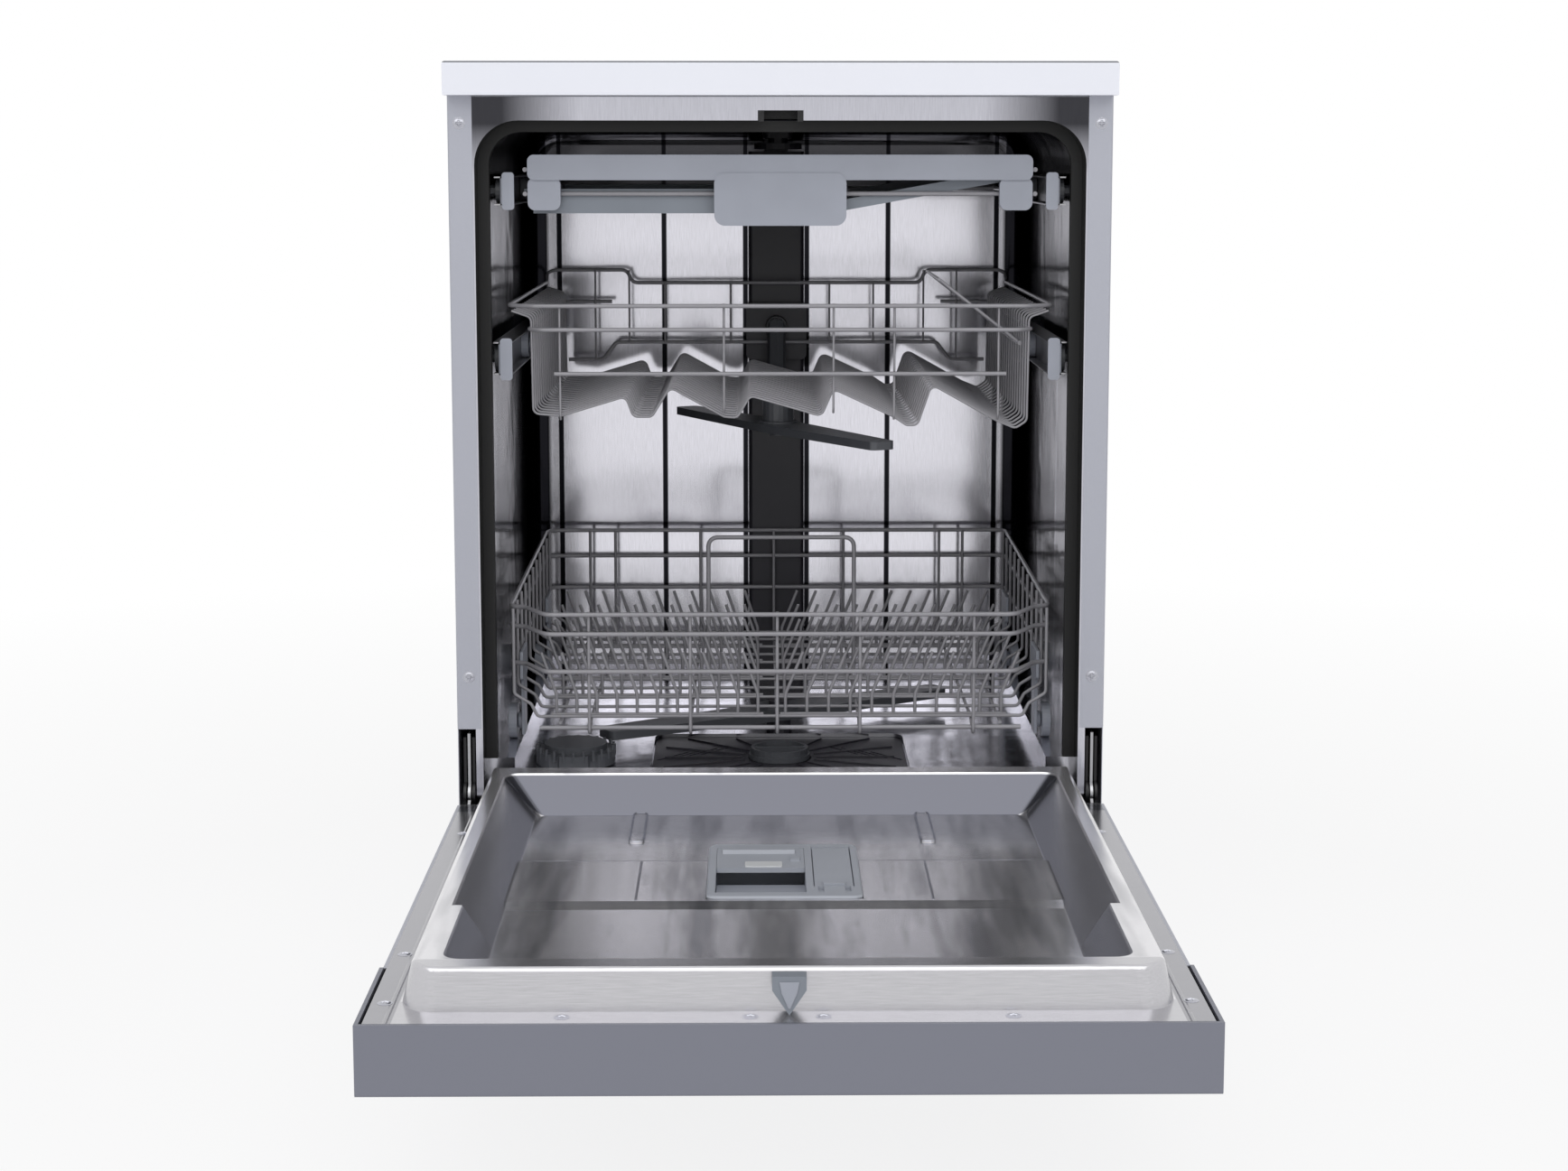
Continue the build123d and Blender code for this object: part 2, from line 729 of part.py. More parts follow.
# Upper basket. The waves' points are shares of the rack's half width, and heights from its rails
ub_front = 30
ub_rear = tub_depth - 40
rack_half = tub_half - 47
wave_profile = [(-1.083, 44), (-1, 36), (-1, -52), (-0.626, -35), (-0.595, -54), (-0.521, -54),
                (-0.446, -26.5), (-0.2, -55), (-0.123, -34.5), (0.166, -53.5), (0.214, -28),
                (0.46, -54), (0.534, -62), (0.613, -24), (0.88, -58), (1, -60), (1, 36),
                (1.083, 44)]
wave_count = 20
wave_first = 40
wave_last = ub_rear - 30
front_shares = (-0.888, -0.228, 0.214, 0.46, 0.88)
rear_shares = (-0.867, -0.705, -0.534, -0.219, 0.254, 0.464, 0.705, 0.862)


def wave_y(i):
    return wave_first + i * (wave_last - wave_first) / (wave_count - 1)


def upper_basket():
    touch = (heavy_wire + wave_wire) / 2
    waves = [(share * rack_half, upper_rail_z + rise) for share, rise in wave_profile]
    solids = [wire([(x, wave_y(i), z) for x, z in waves], wave_wire, 4) for i in range(wave_count)]
    rim = upper_rail_z + 44 + touch + 1.2
    mid = upper_rail_z + 27
    dip = upper_rail_z + 47.5
    rise = upper_rail_z + 61.5
    low_front = upper_rail_z - 13.5
    low_rear = upper_rail_z - 17.5
    low_end = upper_rail_z - 36.5
    flare = rack_half + 21.5
    side = rack_half + touch
    front = ub_front
    right = [(rack_half - 70.5, ub_rear, dip), (rack_half - 65.5, ub_rear, rise),
             (flare - 6, ub_rear, rise), (flare, ub_rear - 8, rise - 3.5),
             (flare, ub_rear - 20, rim), (flare, front + 14, rim), (rack_half - 2.5, front, rim)]
    left = [(-x, y, z) for x, y, z in reversed(right)]
    solids.append(wire([(0, ub_rear, dip), *right, *left, (0, ub_rear, dip)], heavy_wire))
    right = [(rack_half - 48.5, ub_rear, mid), (side - 8, ub_rear, mid), (side, ub_rear - 8, mid),
             (side, front + 12, mid), (side - 12, front, mid)]
    left = [(-x, y, z) for x, y, z in reversed(right)]
    solids.append(wire([*right, *left], heavy_wire))
    span = rack_half - 20.5
    solids.append(wire([(-span, front, low_front), (span, front, low_front)], heavy_wire))
    right = [(rack_half - 52.5, ub_rear, low_rear), (rack_half - 38.5, ub_rear, low_end),
             (rack_half - 0.5, ub_rear, low_end)]
    left = [(-x, y, z) for x, y, z in reversed(right)]
    solids.append(wire([*left, *right], heavy_wire))
    for x in [share * rack_half for share in front_shares]:
        low = upper_rail_z - (56 if abs(x) > 60 else 50)
        solids.append(wire([(x, front + touch, rim + 2), (x, front + touch, low)], wave_wire, 4))
    for x in [share * rack_half for share in rear_shares]:
        low = low_end if abs(x) > rack_half - 52.5 else low_rear
        high = rise if abs(x) > rack_half - 70.5 else dip
        solids.append(wire([(x, ub_rear - touch, low), (x, ub_rear - touch, high)], wave_wire, 4))
    plate_in = side + heavy_wire / 2 + 0.3
    plate = push_x(Pos(340, upper_rail_z + 8) * RectangleRounded(270, 52, 10), plate_in,
                   plate_in + 4)
    for y in upper_wheel_ys:
        plate += axle(7, plate_in + 3.5, upper_inner + 0.2, y, upper_rail_z, 12)
        plate += axle(axle_radius, upper_inner, upper_web - seat, y, upper_rail_z, 12)
    return solids + both_sides(plate)


upper_wheel_ys = (230, 440)
upper_wheel_radius = upper_rail_height / 2 - rail_sheet - wheel_play

# Feed pipe from the dock down behind the waves and forward to the upper arm's hub
upper_hub_y = 265
feed_z = dock_z - 66


def feed_pipe():
    drop_y = ub_rear - 15
    riser = wire([(0, ub_rear, dock_z), (0, drop_y, dock_z), (0, drop_y, feed_z),
                  (0, upper_hub_y, feed_z)], 20, 8)
    funnel = bore_y(11, drop_y + 5, duct_front - 11 - seat, 0, dock_z, 16)
    hub = disc(16, feed_z - 14, feed_z + 6, 0, upper_hub_y, 20)
    pin = disc(6, feed_z - 26, feed_z - 13, 0, upper_hub_y)
    knob = disc(9, feed_z - 29, feed_z - 25, 0, upper_hub_y, 16)
    clip = block(-8, 8, drop_y + 5, ub_rear - heavy_wire / 2 - 0.2, dock_z - 21, dock_z - 14)
    return riser + funnel + hub + pin + knob + clip


# Spray arms: a tapered blade either side of the hub
def spray_arm(reach, width, thick, hub_radius, hub_height):
    blade = make_face(FilletPolyline((-reach, -width * 0.32), (0, -width * 0.55),
                                     (reach, -width * 0.32), (reach, width * 0.32),
                                     (0, width * 0.55), (-reach, width * 0.32),
                                     radius=6, close=True))
    arm = extrude(blade, thick)
    arm += disc(hub_radius, 0, hub_height, 0, 0, 24)
    return arm


def lower_spray_arm():
    arm = spray_arm(200, 44, 9, 22, arm_hub) - disc(6 + fit, -1, 30)
    return Pos(0, hub_y, arm_level) * Rot(0, 0, 31) * arm


def upper_spray_arm():
    arm = spray_arm(203, 40, 8, 20, 10.4) - disc(6 + fit, -1, 30)
    return Pos(0, upper_hub_y, feed_z - 25 + seat) * Rot(0, 0, -61) * arm


# Cup shelf on the right, hinged on a rod beside the basket's side
shelf_x = rack_half - 4.2
shelf_z = upper_rail_z + 12
shelf_tilt = 142
shelf_length = 96
shelf_ys = (70, 250)


def cup_shelf():
    out = Vector(math.cos(math.radians(shelf_tilt)), 0, math.sin(math.radians(shelf_tilt)))
    base = Vector(shelf_x, 0, shelf_z)
    rod = bore_y(heavy_wire / 2, shelf_ys[0], shelf_ys[1], shelf_x, shelf_z)
    tip = base + out * shelf_length
    end = wire([(tip.X, shelf_ys[0], tip.Z), (tip.X, shelf_ys[1], tip.Z)], wave_wire)
    bars = []
    count = 9
    for i in range(count):
        y = shelf_ys[0] + 4 + i * (shelf_ys[1] - shelf_ys[0] - 8) / (count - 1)
        bars.append(wire([(shelf_x, y, shelf_z), (tip.X, y, tip.Z)], wave_wire, 4))
    return rod + end + bars


# Cutlery tray
ct_half = tub_half - 44.5
ct_front = 35
ct_rear = tub_depth - 100


def tray_front_bar():
    bar = push_y(Pos(0, ct_upper + 2) * RectangleRounded(2 * ct_half, 23, 6), ct_front,
                 ct_front + 12)
    grip = push_y(Pos(0, ct_upper - 27) * RectangleRounded(121, 48, 10), ct_front - 1,
                  ct_front + 3)
    ends = [push_y(Pos(s * (ct_half - 15), ct_lower) * RectangleRounded(30, 30, 7), ct_front + 2,
                   ct_front + 12) for s in (-1, 1)]
    return bar + grip + ends


def tray_frame():
    solids = []
    back = ct_front + 12 + heavy_wire / 2
    side = ct_half + heavy_wire / 2 + 0.2
    for z in (ct_upper, ct_lower):
        solids.append(wire([(-ct_half, back, z), (ct_half, back, z)], heavy_wire))
        for s in (-side, side):
            solids.append(wire([(s, ct_front + 3, z), (s, ct_rear, z)], heavy_wire))
    solids.append(wire([(-ct_half, ct_rear - 4, ct_lower), (ct_half, ct_rear - 4, ct_lower)],
                       heavy_wire))
    low = ct_floor - heavy_wire / 2
    solids.append(wire([(0, ct_front + 3.5, low), (0, ct_rear - 8.6, low),
                        (0, ct_rear - 8.6, ct_lower)], heavy_wire))
    for y in (210, 400):
        shoe = block(ct_half + heavy_wire + 0.4, tray_inner + 0.2, y - 20, y + 20,
                     tray_rail_z - 5.6, tray_rail_z + 10.4)
        shoe += push_x(Pos(y, tray_rail_z) * RectangleRounded(
            40, tray_rail_height - 2 * rail_sheet - 2 * seat, 6), tray_inner, tray_web - seat)
        solids += both_sides(shoe)
    return solids


ct_upper = tub_ceiling - 44
ct_lower = ct_upper - 22
ct_floor = ct_upper - 40
insert_wall = 2
insert_front = ct_front + 17
insert_rear = ct_rear - 12


# One cutlery insert: a tray with slots in its floor and a lip on its outer side
def insert(length, height, lip):
    tray = block(0, length, insert_front, insert_rear, 0, height)
    tray -= block(insert_wall, length - insert_wall, insert_front + insert_wall,
                  insert_rear - insert_wall, insert_wall, height + 1)
    tray += block(length - 1, length + lip, insert_front, insert_rear, height - insert_wall, height)
    slots = [block(16, length - 16, insert_front + 20 + i * 48, insert_front + 34 + i * 48, -1, 5)
             for i in range(7)]
    return tray - slots


def cutlery_inserts():
    low_lip = ct_lower + heavy_wire / 2 + 0.1 - ct_floor + insert_wall
    left = Pos(-2, 0, ct_floor) * mirrored(insert(ct_half - 6, low_lip, 8.4))
    right = Pos(6, 0, ct_floor - 7) * Rot(0, -10.2, 0) * insert(ct_half - 10, 10, 7)
    return [left, right]


# Door outer panel: a pan with folded sides, cut down behind the cabinet's front
def door_outer_panel():
    fold = 12
    high = door_inside - liner_sheet - fit
    outline = [(-door_half + fold, high), (-door_half, high), (-door_half, door_face),
               (door_half, door_face), (door_half, high), (door_half - fold, high)]
    near = door_end + fascia_length + run
    pan = push_y(sheet_face(outline, door_sheet, Side.LEFT), near, door_heel)
    pan += block(-door_half, door_half, door_heel - door_sheet, door_heel, door_face, 140)
    pan -= block(-door_half - 1, door_half + 1, notch_y, door_heel + 1, 140, 180)
    return pan


notch_y = -18


def control_fascia():
    far = door_end + fascia_length
    half = fascia_half
    shell = block(-half, half, door_end, far, door_face, door_inside)
    shell = fillet(shell.edges().group_by(Axis.Y)[0].group_by(Axis.Z)[0], 2.5)
    wall = fascia_wall
    shell -= block(-half + wall, half - wall, door_end + wall, far + 1, door_face + wall,
                   door_inside + 1)
    grip = block(-105, 105, far - 52, far - 14, door_face - 1, door_face + 26)
    pocket = block(-108, 108, far - 55, far - 11, door_face + 1, door_face + 29)
    shell = shell + pocket - grip
    for x in button_xs:
        shell -= disc(button_radius + 0.1, door_face - 1, door_face + wall + 1, x, button_y)
    return shell


button_radius = 7
button_xs = (-250, 190, 220)
button_y = door_end + 34


def button(x):
    cap = disc(button_radius, door_face - 1.6, door_face + 6, x, button_y)
    cap += disc(button_radius + 2, door_face + fascia_wall + fit, door_face + 6, x, button_y, 16)
    return chamfer(cap.edges().sort_by(Axis.Z)[0], 0.8)


# Inner liner, pressed from one sheet: the flange, the raised rim with its rounded shoulder, and
# the sunk basin with the raised band across its floor
def rim_solid(shrink):
    low = door_inside - 3
    sections = []
    for half, near, corner in ((rim_foot_half, rim_near, 26), (rim_top_half, rim_near + 4, 24)):
        x = half - shrink
        face = closed_face([(-x, near + shrink), (x, near + shrink), (x, -shrink), (-x, -shrink)])
        sections.append(fillet(face.vertices().group_by(Axis.Y)[0], corner - shrink))
    rim = loft([Plane.XY.offset(low) * sections[0],
                Plane.XY.offset(rim_top - shrink) * sections[1]])
    return fillet(rim.faces().sort_by(Axis.Z)[-1].edges(), rim_shoulder - shrink)


rim_shoulder = 4
basin_near = rim_near + 24
basin_far = -25
basin_step_y = -450
basin_step = 8
band_rise = 3


def basin_part(near, far, near_slope, far_slope, top_half, rounded, grow):
    sections = []
    for half, y0, y1, corner in ((basin_half, near + near_slope, far - far_slope, 10),
                                 (top_half, near, far, 14)):
        x = half + grow
        face = closed_face([(-x, y0 - grow), (x, y0 - grow), (x, y1 + grow), (-x, y1 + grow)])
        sections.append(fillet(face.vertices().group_by(Axis.Y)[rounded], corner + grow))
    high = rim_top + (0 if grow else 1)
    return loft([Plane.XY.offset(basin_level - grow) * sections[0],
                 Plane.XY.offset(high) * sections[1]])


# The basin narrows by a step near the door's end
def basin_solid(grow):
    top_half = rim_top_half - rim_strip
    basin = basin_part(basin_step_y, basin_far, 0, 20, top_half, -1, grow)
    basin += basin_part(basin_near, basin_step_y + 5, 19, 0, top_half - basin_step, 0, grow)
    floor = basin_level - grow
    band = closed_face([(-346, floor - 1), (-345, floor), (-331, floor + band_rise),
                        (-212, floor + band_rise), (-198, floor), (-197, floor - 1)])
    basin -= push_x(band, -basin_half - 40, basin_half + 40)
    for x in (-128, 128):
        bead = Pos(x, -88) * RectangleRounded(12 - 2 * grow, 109 - 2 * grow, 5)
        basin -= push_z(bead, floor - 1, floor + 1.5)
    return basin


def door_liner():
    near = door_end + fascia_wall + seat
    t = liner_sheet
    flange = block(-liner_half, liner_half, near, notch_y, door_inside - t, door_inside)
    flange += block(-rim_foot_half + 4, rim_foot_half - 4, notch_y - 1, 14, door_inside - t,
                    door_inside)
    flange += block(-rim_foot_half + 4, rim_foot_half - 4, 14 - t, 14, 142, door_inside - t / 2)
    outer = basin_solid(t)
    skin = flange + rim_solid(0)
    skin -= rim_solid(t) - outer
    skin += outer & block(-300, 300, -700, 100, basin_level - t, door_inside)
    skin -= basin_solid(0)
    skin -= block(-300, 300, -604, -4, 100, door_inside - t) - outer
    opening = block(-disp_half - 0.3, disp_half + 0.3, disp_near - 0.3, disp_far + 0.3, 150, 180)
    return skin - opening


disp_half = 63.5
disp_near = -326
disp_far = -164
disp_top = 170


# Dispenser: a moulded frame with the detergent pocket, whose floor slopes up at the near end,
# and a shallow well with the rinse aid's filler
def dispenser_housing():
    frame = push_z(Pos(0, (disp_near + disp_far) / 2) * RectangleRounded(
        2 * disp_half, disp_far - disp_near, 8), 132, disp_top)
    frame = chamfer(frame.faces().sort_by(Axis.Z)[-1].edges(), 1.6)
    near = disp_near + 12
    far = disp_far - 14
    pocket = closed_face([(near, disp_top + 1), (near, pocket_floor + 11),
                          (near + 18, pocket_floor), (far, pocket_floor), (far, disp_top + 1)])
    frame -= push_x(pocket, -disp_half + 7, 18)
    frame -= block(24, disp_half - 6, disp_near + 30, disp_far - 10, disp_top - 4, disp_top + 1)
    for x in (30, 52):
        frame -= block(x - 2.5, x + 2.5, disp_near + 14, disp_near + 31, disp_top - 3, disp_top + 1)
    return frame - disc(11, 140, disp_top + 1, 41, disp_near + 60)


pocket_floor = 138
flap_hinge_y = disp_far - 12.6
flap_half_thick = 1.6
flap_hinge_z = disp_top - 2


def dispenser_lid():
    far = disp_far - 15
    lid = block(-disp_half + 7.3, 17.7, far - 62, far, disp_top - 4, disp_top)
    ridge = closed_face([(far - 18, disp_top - 1), (far - 15, disp_top + 3),
                         (far - 9, disp_top + 3), (far - 6, disp_top - 1)])
    latch = block(6, 14, far - 40, far - 26, disp_top - 1, disp_top + 1.5)
    return lid + push_x(ridge, -disp_half + 12, 10) + latch


def rinse_flap():
    near = disp_near + 31
    flap = block(25, disp_half - 7, near, flap_hinge_y, flap_hinge_z - flap_half_thick,
                 flap_hinge_z + flap_half_thick)
    flap += axle(flap_half_thick, 25, disp_half - 7, flap_hinge_y, flap_hinge_z)
    return flap + block(32, 50, near, near + 12, disp_top - 1, disp_top + 2)


# Latch hook on the rim's near wall, shaped like a keel
def latch_hook():
    outline = [(-12, rim_top - 2), (12, rim_top - 2), (12, rim_top - 12), (0, door_inside + 1),
               (-12, rim_top - 12)]
    return push_y(closed_face(outline), rim_near - 12, rim_near - seat)


add("worktop", worktop())
add_pair("side_panel", side_panel())
add("rear_panel", rear_panel())
add("front_crossbar", front_crossbar())
add("base_tray", base_tray())
add("kick_plate", kick_plate())
add_pair("front_foot", front_foot(foot_x))
add("rear_feet", rear_foot(-foot_x), rear_foot(foot_x))
add("tub_wrap", tub_wrap())
add("tub_rear_wall", tub_rear_wall())
add("tub_floor", tub_floor())
add("tub_seals", tub_seals())
add("door_lock", door_lock())
add("hinge_brackets", both_sides(hinge_bracket()))
add("hinge_arms", both_sides(hinge_arm()))
add("door_springs", both_sides(door_spring()))
add("spray_duct", spray_duct())
add("ceiling_nozzle", ceiling_nozzle())
add("sump", sump())
add("filter_plate", filter_plate())
add("filter_cylinder", filter_cylinder())
add("softener_tank", softener_tank())
add("salt_cap", salt_cap())
add("wash_pump", wash_pump())
add("drain_pump", drain_pump())
add("air_break_tank", air_break_tank())
add("rear_fittings", rear_fittings())
for roller_y in roller_ys:
    add("wall_rollers", both_sides(wall_roller(roller_y, upper_rail_z, upper_rail_height,
                                               upper_web, upper_outer)),
        both_sides(wall_roller(roller_y, tray_rail_z, tray_rail_height, tray_web, tray_outer)))
add("upper_rails", both_sides(runner(upper_rail_z, upper_rail_height, upper_inner, upper_web,
                                     upper_outer)))
add_pair("upper_rail_stop", rail_stop(upper_rail_z, upper_rail_height, 38.5, upper_web))
add("tray_rails", both_sides(runner(tray_rail_z, tray_rail_height, tray_inner, tray_web,
                                    tray_outer)))
add_pair("tray_rail_stop", rail_stop(tray_rail_z, tray_rail_height, 34, tray_web))
add("lower_basket", lower_basket())
add("plate_tines", plate_tines())
for name, y in zip(("lower_wheels_front", "lower_wheels_rear"), lower_wheel_ys):
    add(name, both_sides(wheel(wheel_radius, lower_wheel_x, lower_wheel_x + wheel_width, y,
                               lower_wheel_z, axle_radius)))
add("upper_basket", upper_basket())
for name, y in zip(("upper_wheels_front", "upper_wheels_rear"), upper_wheel_ys):
    add(name, both_sides(wheel(upper_wheel_radius, upper_inner + 0.5, upper_web - wheel_play, y,
                               upper_rail_z, axle_radius)))
add("feed_pipe", feed_pipe())
add("lower_spray_arm", lower_spray_arm())
add("upper_spray_arm", upper_spray_arm())
add("cup_shelf", cup_shelf())
add("tray_front_bar", tray_front_bar())
add("tray_frame", tray_frame())
add("cutlery_inserts", cutlery_inserts())
add("door_outer_panel", door_outer_panel())
add("control_fascia", control_fascia())
for name, x in zip(("power_button", "program_button", "start_button"), button_xs):
    add(name, button(x))
add("door_liner", door_liner())
add("dispenser_housing", dispenser_housing())
add("dispenser_lid", dispenser_lid())
add("rinse_flap", rinse_flap())
add("latch_hook", latch_hook())

# The part's origin is on the floor, midway between the open door's end and the drain outlet's
centring = Pos(0, -(door_end + stub_end) / 2, 0)
os.makedirs("parts", exist_ok=True)
for name, solids in nodes.items():
    flat = [centring * s for item in solids for s in item.solids()]
    export_step(Compound(children=flat), f"parts/{name}.step")
print(len(nodes), "nodes")
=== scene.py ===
import math

import bmesh
import bpy
from mathutils import Matrix, Vector


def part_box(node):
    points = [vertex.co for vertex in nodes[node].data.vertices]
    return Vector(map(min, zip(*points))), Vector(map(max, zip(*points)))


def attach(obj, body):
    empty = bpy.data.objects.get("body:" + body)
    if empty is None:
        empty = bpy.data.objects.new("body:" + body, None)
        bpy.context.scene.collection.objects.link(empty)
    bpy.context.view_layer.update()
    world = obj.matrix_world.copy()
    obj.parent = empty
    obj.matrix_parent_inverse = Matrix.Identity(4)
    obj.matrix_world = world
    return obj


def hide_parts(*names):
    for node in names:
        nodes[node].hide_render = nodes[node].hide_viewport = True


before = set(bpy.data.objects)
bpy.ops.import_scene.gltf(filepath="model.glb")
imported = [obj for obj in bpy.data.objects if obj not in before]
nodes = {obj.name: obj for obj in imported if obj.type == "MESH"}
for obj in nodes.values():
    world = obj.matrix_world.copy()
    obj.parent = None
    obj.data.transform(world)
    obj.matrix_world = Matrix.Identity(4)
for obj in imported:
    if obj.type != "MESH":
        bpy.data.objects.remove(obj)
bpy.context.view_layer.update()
print("frame loaded:", len(nodes), "nodes")

frontPlane = 0.040  # the cabinet's front plane in the frame; the sizes below are taken from it


def at(x, y, z):
    # millimetres from the cabinet's front plane to metres in the frame
    return Vector((x / 1000, y / 1000 + frontPlane, z / 1000))


def linear(hexColour, share=1.0):
    # sRGB hex to linear, darkened to a share of itself
    values = [int(hexColour[i:i + 2], 16) / 255 for i in (1, 3, 5)]
    values = [v / 12.92 if v <= 0.04045 else ((v + 0.055) / 1.055) ** 2.4 for v in values]
    return (*[v * share for v in values], 1.0)


def addNode(tree, kind, inputs=(), **settings):
    # inputs go by socket name or in the sockets' order; a node given as an input stands for its first output
    node = tree.nodes.new("ShaderNode" + kind)
    for name, value in settings.items():
        setattr(node, name, value)
    for key, value in (inputs.items() if isinstance(inputs, dict) else enumerate(inputs)):
        if isinstance(value, bpy.types.Node):
            value = value.outputs[0]
        if isinstance(value, bpy.types.NodeSocket):
            tree.links.new(value, node.inputs[key])
        else:
            node.inputs[key].default_value = value
    return node


def newMaterial(name):
    material = bpy.data.materials.new(name)
    material.use_nodes = True
    tree = material.node_tree
    return material, tree, tree.nodes["Principled BSDF"], addNode(tree, "TexCoord").outputs["Object"]


def darkened(tree, colour, darkHex, shares):
    # mixes a colour towards a darker one by the strongest of the shares
    strongest = shares[0]
    for share in shares[1:]:
        strongest = addNode(tree, "Math", (strongest, share), operation="MAXIMUM")
    return addNode(tree, "Mix", {"Factor": strongest, 6: colour, 7: linear(darkHex)}, data_type="RGBA").outputs[2]


def lineAcross(tree, coordinate, middle, half, soft):
    # 1 on a line at this place in metres, fading to 0 outside it
    away = addNode(tree, "Math", (coordinate, middle), operation="SUBTRACT")
    away = addNode(tree, "Math", (away,), operation="ABSOLUTE")
    return addNode(tree, "MapRange", (away, half, half + soft, 1.0, 0.0))


plastic = {"cloud": 70, "texture": 0.0002, "ior": 1.5}  # mm between tone clouds, depth of the mould's texture in m


def mouldedPlastic(name, hexColour, rough=0.45, pebble=0.5, shade=0.9, mask=None):
    # injection moulded in a spark-eroded tool; pebble is the grain of the tool's face in mm
    material, tree, shader, place = newMaterial(name)
    grain = addNode(tree, "TexNoise", {"Vector": place, "Scale": 1000 / pebble, "Detail": 2})
    cloud = addNode(tree, "TexNoise", {"Vector": place, "Scale": 1000 / plastic["cloud"], "Detail": 3})
    tone = addNode(tree, "MapRange", (cloud, 0.3, 0.7, 0.0, 1.0))
    colour = addNode(tree, "Mix", {"Factor": tone, 6: linear(hexColour, shade), 7: linear(hexColour)},
                     data_type="RGBA").outputs[2]
    if mask:
        colour = darkened(tree, colour, *mask(tree, place))
    tree.links.new(colour, shader.inputs["Base Color"])
    gloss = addNode(tree, "MapRange", (grain, 0.0, 1.0, rough - 0.06, rough + 0.08))
    tree.links.new(gloss.outputs[0], shader.inputs["Roughness"])
    bump = addNode(tree, "Bump", {"Height": grain, "Strength": 0.12, "Distance": plastic["texture"]})
    tree.links.new(bump.outputs[0], shader.inputs["Normal"])
    shader.inputs["IOR"].default_value = plastic["ior"]
    return material


steel = {"rollLine": 1 / 1.44, "lineDepth": 0.0001, "waveDepth": 0.002, "ridgeDepth": 0.0012}  # mm, then metres


def rolledSteel(name, hexColour, rough=0.2, lines=(1, 1, 40), wave=0.3, waveSize=90, mask=None, ridges=None):
    # rolled and then pressed: fine lines along the sheet, slow waves that bend its reflections; lines says how
    # much closer together the lines are in each direction, and they are drawn coarser than real ones, to show
    material, tree, shader, place = newMaterial(name)
    shader.inputs["Metallic"].default_value = 1
    along = addNode(tree, "Mapping", {"Vector": place, "Scale": lines})
    grain = addNode(tree, "TexNoise", {"Vector": along, "Scale": 1000 / steel["rollLine"], "Detail": 3})
    slow = addNode(tree, "TexNoise", {"Vector": place, "Scale": 1000 / waveSize, "Detail": 2, "Roughness": 0.4})
    tone = addNode(tree, "MapRange", (grain, 0.25, 0.75, 0.0, 1.0))
    colour = addNode(tree, "Mix", {"Factor": tone, 6: linear(hexColour, 0.86), 7: linear(hexColour)},
                     data_type="RGBA").outputs[2]
    if mask:
        colour = darkened(tree, colour, *mask(tree, place))
    tree.links.new(colour, shader.inputs["Base Color"])
    gloss = addNode(tree, "MapRange", (grain, 0.0, 1.0, rough * 0.8, rough * 1.25))
    tree.links.new(gloss.outputs[0], shader.inputs["Roughness"])
    normal = addNode(tree, "Bump", {"Height": grain, "Strength": 0.05, "Distance": steel["lineDepth"]})
    normal = addNode(tree, "Bump", {"Height": slow, "Strength": wave, "Distance": steel["waveDepth"],
                                    "Normal": normal})
    if ridges:
        normal = addNode(tree, "Bump", {"Height": ridges(tree, place), "Strength": 1.0,
                                        "Distance": steel["ridgeDepth"], "Normal": normal})
    tree.links.new(normal.outputs[0], shader.inputs["Normal"])
    return material


enamel = {"peel": 2.5, "peelDepth": 0.0002, "flake": 0.35}  # mm between dimples, metres deep, mm across a flake


def paintedSheet(name, hexColour, rough=0.38, metallic=0.35, flake=enamel["flake"]):
    # stove enamel sprayed on sheet steel: a slight orange peel, and metal flake drawn coarser than real
    material, tree, shader, place = newMaterial(name)
    peel = addNode(tree, "TexNoise", {"Vector": place, "Scale": 1000 / enamel["peel"], "Detail": 2})
    spark = addNode(tree, "TexNoise", {"Vector": place, "Scale": 1000 / flake, "Detail": 1})
    tone = addNode(tree, "MapRange", (spark, 0.35, 0.65, 0.0, 1.0))
    colour = addNode(tree, "Mix", {"Factor": tone, 6: linear(hexColour, 0.93), 7: linear(hexColour)},
                     data_type="RGBA").outputs[2]
    tree.links.new(colour, shader.inputs["Base Color"])
    gloss = addNode(tree, "MapRange", (spark, 0.0, 1.0, rough - 0.04, rough + 0.05))
    tree.links.new(gloss.outputs[0], shader.inputs["Roughness"])
    bump = addNode(tree, "Bump", {"Height": peel, "Strength": 0.05, "Distance": enamel["peelDepth"]})
    tree.links.new(bump.outputs[0], shader.inputs["Normal"])
    shader.inputs["Metallic"].default_value = metallic
    return material


# places of the rear wall's painted reflection (ribs, corner, top) and of the foot's bump
rearWall = {"ribs": (-0.240, -0.124, -0.034, 0.034, 0.124, 0.244), "rib": (0.0022, 0.0012),
            "corner": (0.2505, 0.2545), "top": (0.712, 0.73), "foot": (0.2, 0.345), "footBulge": 14.0}


def paintedRibReflectionAndFelt(tree, place):
    # painted reflection: the pressed ribs, the corners and the top of the rear wall are painted dark, as they would
    # mirror the dark walls and ceiling
    across, depth, height = addNode(tree, "SeparateXYZ", (place,)).outputs
    away = addNode(tree, "Math", (across,), operation="ABSOLUTE")
    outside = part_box("tub_rear_wall")[1][1]  # bitumen felt covers the outer side, seen through the rear slots
    shares = [addNode(tree, "MapRange", (away, *rearWall["corner"], 0.0, 1.0)),
              addNode(tree, "MapRange", (height, *rearWall["top"], 0.0, 0.88)),
              addNode(tree, "MapRange", (depth, outside - 0.0004, outside - 0.0001, 0.0, 1.0))]
    shares += [lineAcross(tree, across, rib, *rearWall["rib"]) for rib in rearWall["ribs"]]
    return "#1B1B1F", shares


def wallFoot(tree, place):
    # the rear wall's foot curves forward into the floor, so it mirrors the light above the door
    height = addNode(tree, "SeparateXYZ", (place,)).outputs["Z"]
    return addNode(tree, "MapRange", (height, *rearWall["foot"], rearWall["footBulge"], 0.0))
